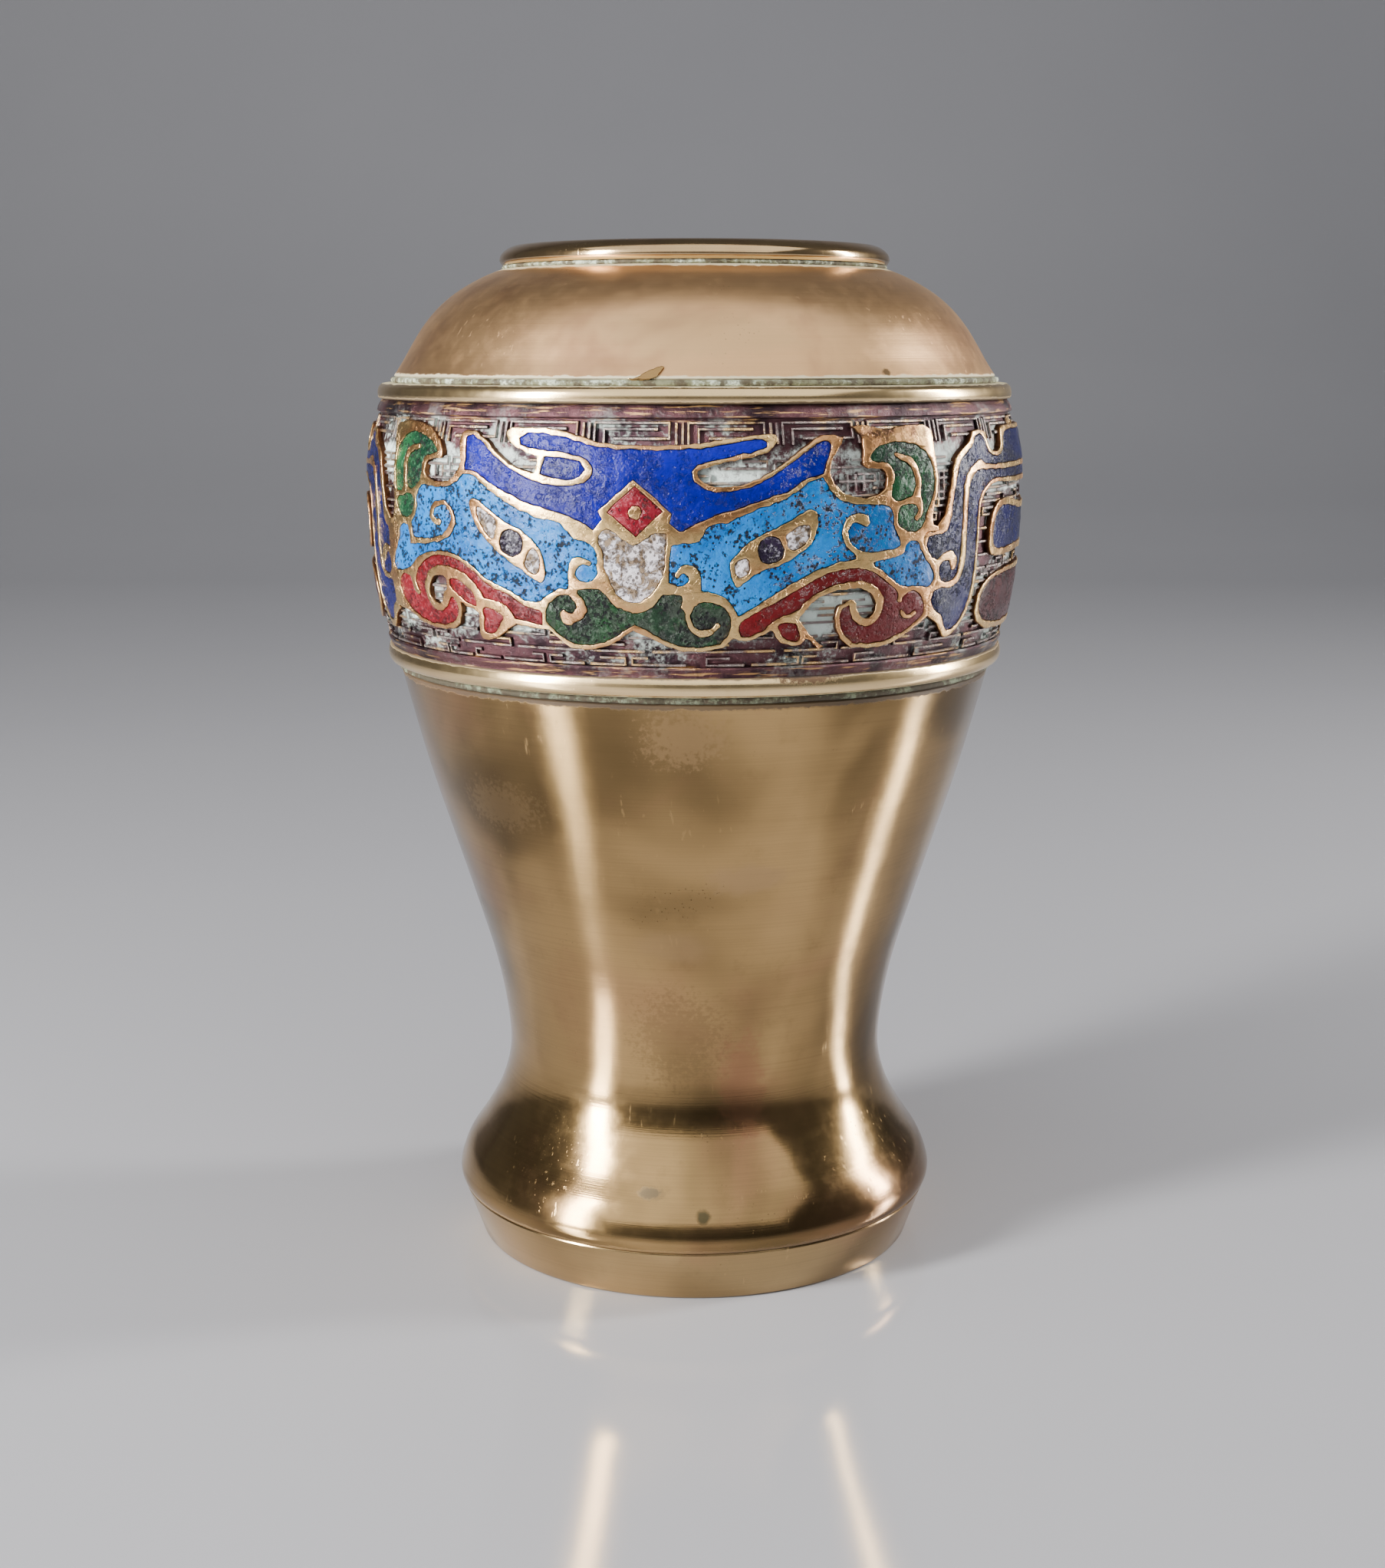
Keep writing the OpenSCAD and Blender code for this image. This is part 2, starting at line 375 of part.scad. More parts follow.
// ---- The side panels' drawing: the left half, turned over for the right half ----
PANEL_TOP_HALF = [
    [[44, 113.5], [44.6, 115.6], [45.4, 118], [46.3, 120.2], [47.7, 121.6], [49.5, 122.4],
        [51.3, 123.2], [52.8, 124.3], [55, 124.6], [57.2, 124.2]],
    [[57.4, 123], [58.1, 122], [59.6, 121.5], [61.4, 121.6], [62.7, 122.4], [63.3, 123.6],
        [64.2, 124.7], [67, 125]]
];
PANEL_ARCH_HALF = [
    [[43.2, 99.1], [44.6, 98], [46, 96.7], [47.6, 96.2], [49.8, 97],
        [51.8, 98.7], [53.2, 100.8], [53.9, 103], [54, 108], [54, 113.4], [54.9, 115.2],
        [56.6, 116.3], [59, 117], [62, 117], [66, 116.8], [72, 116.7]]
];
PANEL_UPPER_HALF = [
    [[62, 119.8], [58, 119.8], [55.6, 120], [53.6, 120.6], [51.9, 119.9], [50.4, 119.2],
        [49.2, 118], [48.6, 116], [48.5, 112], [48.5, 108.5], [48.3, 106.4], [47.6, 105],
        [46.2, 104.3], [44.4, 104.4], [43.5, 105.3], [43.6, 106.5], [44.6, 107.1],
        [45.6, 106.8], [46.1, 105.9], [46.9, 105.6], [47.7, 106.2], [47.8, 107.2],
        [47, 108.1], [45.8, 108.5], [44.6, 108.5], [43.7, 109], [43.4, 109.8],
        [43.7, 110.6]],
    [[44.8, 111.3], [45.6, 112.6], [46.1, 115], [46.9, 117.8],
        [47.8, 119.7], [49, 120.8], [50.6, 121.5], [52.2, 122.3], [53.3, 123.3],
        [54.6, 123.7], [56, 123.3], [56.6, 122.2], [57.6, 121.1], [59.5, 120.7],
        [61.8, 120.8], [63.5, 121.6], [64.5, 122.9], [66, 123.8], [70, 124.1]]
];
PANEL_LOWER_HALF = [
    [[70, 118.8], [62, 118.8], [56, 118.9], [53, 118.8], [51.4, 118], [50.4, 116.5],
        [50.2, 113], [50.2, 108], [50, 106], [49.2, 104.5], [47.8, 103.6], [46, 103.2],
        [44.3, 103.3], [43.4, 102.9]],
    [[43.3, 101.9], [43.6, 101.1], [44.2, 100.4], [45.1, 99.8], [45.9, 98.8], [46.7, 97.8],
        [47.8, 97.5], [49.5, 98], [51, 99.3], [51.9, 100.9], [52.6, 103.2], [53, 106],
        [53.1, 110], [53.2, 113.8], [54.2, 115.9], [56.2, 117.1], [59, 117.8],
        [64, 117.8], [70, 117.7]]
];
SCROLL_HALF = [
    [[75, 106.9], [70, 106.8], [65, 106.6], [61, 106.7], [58.6, 107.2], [57.7, 109],
        [57.9, 111.5], [59, 113.4], [61.2, 114.6], [64.5, 114.9], [69, 114.5], [75, 113.9]]
];
SCROLL_CELL_HALF = [
    [[75, 108.2], [70, 108.1], [65, 107.9], [61.6, 108], [59.8, 108.7], [59.3, 110.2],
        [59.9, 112], [61.6, 113.3], [64.5, 113.7], [69, 113.3], [75, 112.7]]
];
LOBE_HALF = [
    [[75, 96], [68, 96], [62, 96.3], [58.2, 97.1], [56, 98.4], [55.1, 100.1],
        [55.6, 101.9], [57.4, 103.4], [60.5, 104.4], [65, 104.9], [70, 105.1], [75, 105.1]]
];
LOBE_CELL_HALF = [
    [[75, 97.2], [68, 97.2], [62.6, 97.5], [59, 98.2], [57.1, 99.3], [56.5, 100.5],
        [57.2, 102], [59.2, 103.1], [62, 103.7], [66, 104], [70, 104.1], [75, 104.1]]
];

// The half outlines end short of the panel's middle, which straight runs cross
function whole(half) = concat(half, [for (r = backwards(half)) flip(r, side_axis)]);

// ---- Laying flat drawings on the barrel ----
// A drawing seen square on from the angle axis, as [x, height]
function lay(points, axis) = [for (p = points) [barrel_r(p[1]) * sin(p[0] - axis), p[1]]];

module patch(runs, axis) { polygon(lay(outline(runs), axis)); }
module spot(centre, r, axis) { translate(lay([centre], axis)[0]) circle(r); }

// Brass or enamel between the cells' floor and drop below the walls' tops
module layer(drop) {
    outer = [for (p = BARREL) [p[1] - drop, p[0]]];
    inner = [for (i = [len(BARREL) - 1 : -1 : 0]) [BARREL[i][1] - cell_depth, BARREL[i][0]]];
    rotate_extrude() polygon(concat(outer, inner));
}

// A flat drawing pushed into the layer along the angle axis, cut off at the angle half
// on both sides, then turned by turn
module relief(axis, half, turn, drop) {
    rotate([0, 0, axis + turn]) intersection() {
        layer(drop);
        rotate([90, 0, 0]) linear_extrude(height = reach) children();
        translate([0, 0, band_z]) linear_extrude(height = band_top - band_z)
            polygon([[0, 0], [-reach * tan(half), -reach], [reach * tan(half), -reach]]);
    }
}

// ---- Cells of a mask, as flat drawings ----
module brow_cells() {
    patch(BROW, mask_axis);
    patch(BROW_INLAY, mask_axis);
}
module face_cells() {
    difference() {
        patch(FACE_RIGHT, mask_axis);
        patch(EYE_RIGHT, mask_axis);
    }
    difference() {
        patch(FACE_LEFT, mask_axis);
        patch(EYE_LEFT, mask_axis);
    }
    patch(FACE_TAIL, mask_axis);
}
module horn_cells() {
    for (c = [HORN_RIGHT, HORN_LEFT, HORN_LEFT_CURL]) patch(c, mask_axis);
}
module chin_cells() { patch(CHIN, mask_axis); }
module whisker_cells() {
    difference() {
        patch(WHISKER_RIGHT, mask_axis);
        patch(WHISKER_HOOK, mask_axis);
    }
    for (c = [WHISKER_RIGHT_SEED, WHISKER_LEFT, WHISKER_LEFT_CURL, WHISKER_LEFT_SEED])
        patch(c, mask_axis);
}
module diamond_cells() {
    difference() {
        patch(DIAMOND, mask_axis);
        spot(DIAMOND_DOT, dot_r, mask_axis);
    }
}
module nose_cells() { patch(NOSE, mask_axis); }
module white_cells() { for (c = WHITES) patch(c, mask_axis); }
module pupil_cells() { for (c = PUPILS) spot(c, pupil_r, mask_axis); }
module mask_metal() {
    difference() {
        patch(MASK, mask_axis);
        brow_cells();
        face_cells();
        horn_cells();
        chin_cells();
        whisker_cells();
        diamond_cells();
        nose_cells();
        white_cells();
        pupil_cells();
        patch(WHISKER_LEFT_EYE, mask_axis);
    }
}

// ---- Cells of a side panel, as flat drawings ----
module panel_cobalt_cells() {
    patch(whole(PANEL_LOWER_HALF), side_axis);
    patch(whole(PANEL_UPPER_HALF), side_axis);
    patch(whole(SCROLL_CELL_HALF), side_axis);
}
module panel_red_cells() { patch(whole(LOBE_CELL_HALF), side_axis); }
module panel_metal() {
    difference() {
        union() {
            patch(concat([SHARED], whole(PANEL_ARCH_HALF), [flip(SHARED, side_axis)],
                [for (r = PANEL_TOP_HALF) mirrored(r, side_axis)],
                [for (r = backwards(PANEL_TOP_HALF)) backwards(r)]), side_axis);
            patch(whole(SCROLL_HALF), side_axis);
            patch(whole(LOBE_HALF), side_axis);
        }
        panel_cobalt_cells();
        panel_red_cells();
    }
}

// ---- Turned pieces ----
module foot_ring() {
    color("goldenrod") rotate_extrude()
        polygon([[foot_in_r, 0], [foot_r, 0], [foot_edge_r, foot_h], [foot_in_r, foot_h]]);
}
module base_disc() {
    color("darkgoldenrod") translate([0, 0, base_z]) cylinder(r = foot_in_r, h = base_t);
}
module lower_body() {
    shell = curve(BODY, profile_steps);
    color("gold") rotate_extrude() polygon(concat(
        shell,
        [level_in(shell, len(shell) - 1, wall_t)],
        inside(shell, wall_t, foot_h, body_top),
        [level_in(shell, 0, wall_t)]
    ));
}
module lower_solder_seam() {
    color("darkseagreen") translate([0, 0, body_top]) ring(seam_r, sleeve_low_r, bead_z - body_top);
}
module lower_bead_ring() {
    color("gold") bead(sleeve_low_r, lower_bead_r, bead_z, band_z);
}
// A point of the band's outside, at a depth below the walls' tops
function band_point(z, depth) = [barrel_r(z) - depth, z];
module champleve_band() {
    low_edge = band_z + border_h;
    high_edge = band_top - border_h;
    ground = [
        band_point(band_z, border_drop),
        band_point(low_edge, border_drop),
        band_point(low_edge + border_slope, cell_depth),
        for (i = [1 : len(BARREL) - 2]) band_point(BARREL[i][0], cell_depth),
        band_point(high_edge - border_slope, cell_depth),
        band_point(high_edge, border_drop),
        band_point(band_top, border_drop)
    ];
    low = band_z + flange_t;
    high = band_top - flange_t;
    depth = cell_depth + band_t;
    back = [
        band_point(high, depth),
        for (i = [len(BARREL) - 2 : -1 : 1]) band_point(BARREL[i][0], depth),
        band_point(low, depth)
    ];
    color("saddlebrown") rotate_extrude() polygon(concat(
        [[sleeve_low_r - sleeve_t, body_top], [sleeve_low_r, body_top], [sleeve_low_r, band_z]],
        ground,
        [[sleeve_high_r, band_top], [sleeve_high_r, dome_z], [sleeve_high_r - sleeve_t, dome_z],
            [sleeve_high_r - sleeve_t, high]],
        back,
        [[sleeve_low_r - sleeve_t, low]]
    ));
}
module upper_bead_ring() {
    color("gold") bead(sleeve_high_r, upper_bead_r, band_top, bead_top);
}
module upper_solder_seam() {
    color("darkseagreen") translate([0, 0, bead_top]) ring(seam_r, sleeve_high_r, dome_z - bead_top);
}
module shoulder_dome() {
    shell = concat(curve(DOME, profile_steps), [[collar_r, dome_top]]);
    color("gold") rotate_extrude() polygon(concat(
        shell,
        inside(shell, wall_t, dome_z, vase_h),
        [level_in(shell, 0, wall_t)]
    ));
}
module lip_solder_seam() {
    color("darkseagreen") translate([0, 0, dome_top]) ring(lip_base_r, collar_r, lip_z - dome_top);
}
module lip_ring() {
    low = dome_top - collar_drop;
    color("gold") rotate_extrude() polygon(concat(
        [[mouth_r, low], [collar_r, low], [collar_r, lip_z]],
        curve(LIP, profile_steps)
    ));
}
module ring(outer_r, inner_r, h) {
    difference() {
        cylinder(r = outer_r, h = h);
        translate([0, 0, -h]) cylinder(r = inner_r, h = 3 * h);
    }
}
// A half-round bead between two heights
module bead(inner_r, crest_r, low, high) {
    h = high - low;
    section = [for (p = BEAD) [crest_r - p[0], low + p[1] * h]];
    rotate_extrude()
        polygon(concat([[inner_r, low]], curve(section, profile_steps), [[inner_r, high]]));
}

// ---- A mask or a side panel, by part ----
module walls(turn) { color("peru") relief(mask_axis, mask_half, turn, 0) mask_metal(); }
module brow(turn) { color("mediumblue") relief(mask_axis, mask_half, turn, enamel_drop) brow_cells(); }
module face(turn) { color("deepskyblue") relief(mask_axis, mask_half, turn, enamel_drop) face_cells(); }
module horns(turn) { color("seagreen") relief(mask_axis, mask_half, turn, enamel_drop) horn_cells(); }
module chin(turn) { color("darkgreen") relief(mask_axis, mask_half, turn, enamel_drop) chin_cells(); }
module whiskers(turn) { color("firebrick") relief(mask_axis, mask_half, turn, enamel_drop) whisker_cells(); }
module diamond(turn) { color("crimson") relief(mask_axis, mask_half, turn, enamel_drop) diamond_cells(); }
module nose(turn) { color("lavender") relief(mask_axis, mask_half, turn, enamel_drop) nose_cells(); }
module eye_whites(turn) { color("white") relief(mask_axis, mask_half, turn, enamel_drop) white_cells(); }
module pupils(turn) { color("indigo") relief(mask_axis, mask_half, turn, enamel_drop) pupil_cells(); }
module panel_walls(turn) { color("peru") relief(side_axis, panel_half, turn, 0) panel_metal(); }
module panel_cobalt(turn) {
    color("navy") relief(side_axis, panel_half, turn, enamel_drop) panel_cobalt_cells();
}
module panel_red(turn) { color("maroon") relief(side_axis, panel_half, turn, enamel_drop) panel_red_cells(); }

foot_ring();
base_disc();
lower_body();
lower_solder_seam();
lower_bead_ring();
champleve_band();
upper_bead_ring();
upper_solder_seam();
shoulder_dome();
lip_solder_seam();
lip_ring();
walls(0);  // front_mask_walls
brow(0);  // front_brow_cobalt
face(0);  // front_face_turquoise
horns(0);  // front_horns_green
chin(0);  // front_chin_green
whiskers(0);  // front_whiskers_red
diamond(0);  // front_diamond_red
nose(0);  // front_nose_white
eye_whites(0);  // front_eye_whites
pupils(0);  // front_pupils
walls(half_turn);  // back_mask_walls
brow(half_turn);  // back_brow_cobalt
face(half_turn);  // back_face_turquoise
horns(half_turn);  // back_horns_green
chin(half_turn);  // back_chin_green
whiskers(half_turn);  // back_whiskers_red
diamond(half_turn);  // back_diamond_red
nose(half_turn);  // back_nose_white
eye_whites(half_turn);  // back_eye_whites
pupils(half_turn);  // back_pupils
panel_walls(0);  // right_panel_walls
panel_cobalt(0);  // right_panel_cobalt
panel_red(0);  // right_panel_red
panel_walls(half_turn);  // left_panel_walls
panel_cobalt(half_turn);  // left_panel_cobalt
panel_red(half_turn);  // left_panel_red
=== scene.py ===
import math
import random

import bmesh
import bpy
from mathutils.kdtree import KDTree
from mathutils import Matrix, Vector, noise


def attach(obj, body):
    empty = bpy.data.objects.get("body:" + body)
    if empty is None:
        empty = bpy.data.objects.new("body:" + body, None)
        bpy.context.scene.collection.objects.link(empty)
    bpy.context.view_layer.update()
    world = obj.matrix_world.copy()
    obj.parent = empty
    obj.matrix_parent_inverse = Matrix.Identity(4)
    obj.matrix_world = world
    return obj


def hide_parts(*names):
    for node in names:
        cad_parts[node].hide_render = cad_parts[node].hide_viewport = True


# A small brass vase. A turned foot, body, shoulder and lip carry a cast band whose cells
# are filled with enamel: a mask in front, a mask behind and an arched panel on each side.

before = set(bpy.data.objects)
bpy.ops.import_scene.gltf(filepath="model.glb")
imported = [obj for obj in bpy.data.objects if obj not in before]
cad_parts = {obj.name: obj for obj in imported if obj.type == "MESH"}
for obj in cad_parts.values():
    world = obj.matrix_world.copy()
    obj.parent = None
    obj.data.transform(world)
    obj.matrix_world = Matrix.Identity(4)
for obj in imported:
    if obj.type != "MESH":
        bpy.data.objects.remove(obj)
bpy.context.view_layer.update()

MM = 0.001
HALF_TURN = Matrix.Rotation(math.pi, 4, "Z")

# ---- Sizes, in millimetres ----
HEIGHT = 150
FOOT_TOP = 8            # the foot ring ends and the body starts
BODY_TOP = 88.9         # the body ends and the band's lower sleeve starts
BARREL_LOW = 92.6       # the barrel starts, on the lower bead
BARREL_HIGH = 128.2     # the barrel ends, under the upper bead
BAND_TOP = 131.3        # the band's upper sleeve ends and the shoulder starts
DOME_TOP = 146.6        # the shoulder ends
LIP_FOOT = 147.2        # the lip starts
THICK = 1.5             # wall of the turned shells
BAND_THICK = 2.5        # wall of the band, its cell walls included
BASE_R = 30.5           # bore of the foot ring, which the base disc fills
BORE_R = 42.4           # inside of the band and of the shells where they meet it
LOW_SLEEVE_R = 43.9     # outsides of the sleeves that the beads and the seams go round
HIGH_SLEEVE_R = 43.6
COLLAR_R = 25           # outside of the lip's collar
MOUTH_R = 24
BAND_R = 48.5           # radius at which the band's drawing is unrolled
GROUND = -0.9           # floor of the cells, from the tops of their walls
RELIEF_FOOT = -1.0      # walls and enamels start a little under the ground
ENAMEL_TOP = -0.1       # enamel stands a little lower than its walls
WORN = 0.16             # how far worn walls are drawn back from their outlines
LEAST_WALL = 0.55       # no wall is drawn back to less than this
WALL_REACH = 1.2        # walls wider than this count as this wide
CROWDED = 0.12          # points of an outline that are nearer than this are thinned out
SQUARE = 1.7            # pitch of the grid along which a flat drawing bends
PANEL_AXIS = 80.5       # middle of the right side panel, in degrees round from the front
PANEL_EDGE = 43.4       # the flat far side of a panel's cells, in degrees before it is turned over

# ---- Profiles, as (radius, height) ----
FOOT = [
    (31, 0), (33, 0), (33.35, 0.12), (33.6, 0.45), (36.05, 7.3), (36.22, 7.75), (36.15, 7.95),
    (35.9, FOOT_TOP), (BASE_R, FOOT_TOP), (BASE_R, 0.5),
]
BASE = [
    (0, 3), (8, 3.02), (8.4, 3.12), (8.8, 3.02), (20, 3), (20.3, 3.1), (20.6, 3), (BASE_R, 3),
    (BASE_R, 4.5), (0, 4.5),
]
BODY = [
    (36.42, 8.25), (36.8, 9.4), (36.6, 11), (35.4, 14), (32.7, 18), (30.1, 23), (28.7, 29),
    (29.2, 36), (30.8, 44), (33.5, 53), (36.7, 63), (40.2, 74), (43.2, 85), (44.1, 88.6),
]
DOME = [
    (44.25, 131.5), (42.9, 133.6), (41.5, 136), (39.9, 138.5), (37.8, 141), (35.2, 143.2),
    (32.2, 145), (29.8, 146.1), (28.4, DOME_TOP),
]
LIP = [
    (28.2, 147.25), (28.6, 147.9), (28.35, 148.8), (27.4, 149.6), (26.2, HEIGHT),
    (24.7, 149.75), (24.05, 149),
]
LOWER_BEAD = [
    (44.9, 89.85), (45.55, 90.1), (45.9, 90.6), (46, 91.2), (45.95, 91.8), (45.75, 92.4),
    (45.4, BARREL_LOW),
]
UPPER_BEAD = [
    (45.6, BARREL_HIGH), (46.45, 128.3), (46.68, 128.7), (46.7, 129.3), (46.5, 129.95),
    (46.05, 130.35), (45.4, 130.5),
]
BARREL = [
    (45.87, BARREL_LOW), (47.27, 98), (48.17, 104), (48.67, 113), (48.57, 119.5), (47.77, 124),
    (46.47, BARREL_HIGH),
]
# Plain borders of the band's ground, raised beside the beads
LOW_BORDER = [
    (45.55, BARREL_LOW), (45.6, 92.9), (45.85, 93.3), (46, 93.75), (45.85, 94), (45.4, 94.15),
]
HIGH_BORDER = [
    (46.4, 126.35), (46.75, 126.45), (46.85, 126.6), (46.7, 127.2), (46.35, 127.8),
    (46, BARREL_HIGH),
]

# ---- The band's drawing, as (degrees round from the front, height in millimetres) ----
# An outline of one run is a smooth loop; the runs of a longer one meet at corners.
# Middle of the wall that a mask and the panel on its right have in common
JOINT_HALF = 0.3        # each of the two goes this far over it
JOINT = [
    (42.3, 111.9), (42, 111.3), (39.6, 110.9), (39.2, 109.8), (40.2, 108.2), (41.6, 107.2),
    (42.6, 106.2), (42.7, 104.8), (42.3, 103.6), (41.3, 103), (41.1, 102), (41.2, 100.8),
    (41.5, 99.6),
]
MASK = [
    [(-8, 123.2), (-4, 123.2), (0, 123.4), (4, 123.8), (8, 124.3), (11, 124.6), (12.4, 124.6),
        (13.1, 124.1), (12.9, 123.3), (12.1, 122.6), (11.1, 122.1), (10, 121.7), (8, 121.3),
        (5, 120.8), (2, 120.2), (0.6, 119.5), (1.3, 118.6), (2.5, 118.1), (4, 117.9), (6, 118),
        (8.5, 118.5), (11, 119.5), (13.5, 120.8), (16, 122.2), (18, 123.3), (20, 124.2),
        (22, 124.5), (24.1, 124)],
    [(23.6, 123), (22.6, 122), (21.9, 121), (21.5, 119.8), (21.7, 118.7), (22.6, 117.7),
        (24, 116.8), (26, 116.4), (28, 116.3), (29.8, 116.7), (31, 117.5), (31.3, 118.6),
        (30.8, 119.4), (29.5, 119.7), (27.8, 119.8), (27, 120.3), (26.9, 121.3),
        (27.2, 122.6), (26.9, 124), (25.4, 125.3)],
    [(27.5, 125.6), (30, 125.4), (32.8, 125), (35, 125.4), (38, 125.6), (40.3, 125.4),
        (41.8, 124.4), (41.8, 123), (42, 120.5), (42.2, 118), (41.8, 115.5), (41.2, 113.5),
        (41.2, 112.3)],
    [(a + JOINT_HALF, z) for a, z in JOINT],
    [(41, 99.2), (39, 98.3), (36.5, 97.1), (34, 96.3), (31.5, 95.9), (29, 96), (26.2, 96.2)],
    [(24.5, 97.2), (23.4, 98.5), (22.9, 100), (23.1, 101.6), (24.1, 102.4), (25.4, 102.8),
        (26.6, 102.5), (26.7, 101.6), (27.4, 100.7), (28.6, 100.3), (29.7, 100.8),
        (30.1, 101.8), (29.5, 102.9), (28.3, 103.6), (26.8, 104), (25, 104.1),
        (22.5, 103.8), (20, 103.1), (18.2, 101.9), (16.9, 100.4)],
    [(18.3, 98.9), (20, 97.5), (21.4, 96.6)],
    [(20.4, 96.3), (19.2, 97), (18.2, 97.6)],
    [(17.4, 96.9), (15.5, 96.8), (13.8, 97.3), (12.8, 98.2), (12.2, 98.9)],
    [(11, 98.3), (9, 97.7), (7.4, 97.6), (6.2, 98)],
    [(4.9, 96.9), (3, 96.4), (1, 96.2), (-1.5, 96.2), (-4, 96.7), (-6.5, 97.7), (-9.8, 98.9)],
    [(-11, 98.3), (-13, 97.2), (-15.5, 96.5), (-18, 96.2), (-20.5, 96.4), (-22, 97.2),
        (-23.3, 98.3), (-25, 98.7), (-27.5, 98.8), (-30, 99.1)],
    [(-31.5, 98.4), (-33, 97.6), (-35, 96.8), (-37, 96.6), (-38.1, 97.1), (-38, 98.5),
        (-37.6, 100.2)],
    [(-38.6, 100.7), (-40, 101.1), (-41.2, 101.5)],
    [(-41.3, 100.8), (-41.5, 99.7), (-42.3, 98.6), (-43.8, 97.8), (-46, 97.5), (-49, 97.5),
        (-52, 97.9), (-55, 98.8), (-57.8, 99.3)],
    [(-61.8, 99.8), (-61.8, 112.2)],
    [(-60.2, 112.3), (-59.3, 113.6), (-59.2, 116), (-59.2, 119), (-59.4, 122),
        (-60.2, 124), (-60, 125.3), (-57, 125.8), (-53, 125.7), (-50, 125.3),
        (-47.5, 124.4), (-45.5, 123.2), (-44.5, 121.8), (-44.8, 120.8), (-47, 120.6),
        (-48.3, 120.2), (-48.9, 119.3), (-48.4, 118.5), (-47, 118), (-45, 117.9),
        (-43, 118.2), (-41.5, 119), (-40.6, 120), (-40.4, 121), (-40.8, 122.2),
        (-41, 123.2), (-40.7, 124.3), (-39.5, 124.9)],
    [(-38, 124.7), (-35.8, 123.9), (-34, 122.8), (-32.3, 121.6), (-30, 120.5),
        (-27.5, 119.8), (-25.8, 119.5)],
    [(-25.4, 120.3), (-25.3, 121.4)],
    [(-27, 121.8), (-29, 122.4), (-30.6, 123.3), (-31.4, 124.4), (-30.5, 125.2),
        (-27, 125.4), (-22, 125.1), (-18, 124.3), (-15, 123.6), (-11.5, 123.2)]
]
BROW = [
    [(-28.6, 123.8), (-26.5, 124.4), (-23, 124.2), (-19, 123.5), (-16, 122.8), (-13, 122.5),
        (-9.5, 122.4), (-5, 122.4), (0, 122.6), (4, 123), (8, 123.5), (10.2, 123.7),
        (11.1, 123.2), (10.3, 122.6), (8, 122.2), (5, 121.7), (2, 121.1), (0.3, 120.6),
        (-0.5, 119.9), (-0.4, 118.9), (0.4, 118), (2, 117.3), (4, 117.1), (6.5, 117.3),
        (9, 117.9), (11.5, 118.8), (14, 120.1), (16.5, 121.5), (18.5, 122.7), (20.3, 123.4),
        (21.6, 123.1), (21, 121.7), (20.4, 120.4), (20.2, 119.3)],
    [(17.5, 118.7), (15, 117.6), (12.5, 116.8), (9.5, 116), (6, 115), (3, 114.3),
        (1, 113.5), (-1, 112.6), (-2.3, 112.2)],
    [(-3.7, 113.2), (-3.4, 114.5)],
    [(-9.4, 118.9), (-15.1, 114.8)],
    [(-14.4, 113.6), (-15.8, 112.3)],
    [(-17, 113), (-19, 113.8), (-21.5, 114.5), (-25, 115.2), (-28, 116), (-31, 117),
        (-33.5, 117.9), (-35.3, 118.7), (-37.2, 119.4)],
    [(-39.3, 119.5), (-38.9, 121), (-39.1, 122.5), (-39.2, 123.7), (-38.3, 124),
        (-36.6, 123.5), (-34, 121.9), (-32, 120.8), (-29, 119.3), (-26, 118.3),
        (-22.5, 117.7), (-19.5, 117.7), (-17.1, 118.2), (-15.8, 119.2), (-15.8, 120.3),
        (-16.8, 121.3), (-19, 122), (-22.5, 122.4), (-26, 122.7), (-28.2, 123.1)]
]
BROW_INLAY = [
    [(-17.2, 119.9), (-18, 120.8), (-20.5, 121.2), (-23.8, 121.3)],
    [(-24.2, 120.3), (-24.6, 119.4)],
    [(-22, 118.8), (-19.5, 118.7), (-18, 119.1)]
]
FACE_RIGHT = [
    [(-3.6, 110.2), (-1.5, 110.4), (0.5, 110.6), (1.2, 111.3), (2, 112.3), (3, 112.9),
        (5, 113.1), (7, 113.8), (9.5, 114.7), (12.5, 115.6), (14.5, 116.3), (16.3, 117.3),
        (17.6, 118.3)],
    [(20.1, 118.9), (20.4, 118.2), (21.2, 117.1), (22.5, 116.1), (24.5, 115.4), (27, 115.1),
        (30, 115.1), (31.6, 114.8), (32.5, 113.9), (32.7, 112.9), (33, 111.8), (33.9, 110.6),
        (34.3, 109.8)],
    [(33.3, 109.4), (31, 109.2), (28.5, 109.1), (26.5, 109.5), (25.2, 110.3), (24.6, 111.4),
        (24.8, 112.4), (25.6, 112.9), (26.6, 112.6), (27.6, 112.2), (28.4, 112.5),
        (28.3, 113.4), (27.4, 114.1), (25.8, 114.3), (24.4, 113.8), (23.5, 112.6),
        (23.4, 111.2), (24, 109.9), (25, 109), (26, 108.3)],
    [(25, 108.1), (23.5, 108), (21.5, 107.6), (19, 106.9), (16.5, 105.8), (14, 104.7),
        (11.5, 103.5), (9, 102.2), (6.9, 101.1)],
    [(6.3, 102), (5.2, 103.3), (3.5, 104.2), (1.2, 104.5)],
    [(1.1, 105.4), (0.9, 106.7), (0, 107.7), (-1.2, 108), (-2.4, 107.5), (-3.1, 106.6),
        (-2.7, 106), (-1.9, 106.5), (-1.2, 106.3), (-1.1, 105.7), (-1.8, 105.3),
        (-2.8, 105.2), (-3.8, 105.5)],
    [(-3.9, 107.2), (-3.7, 108.7)]
]
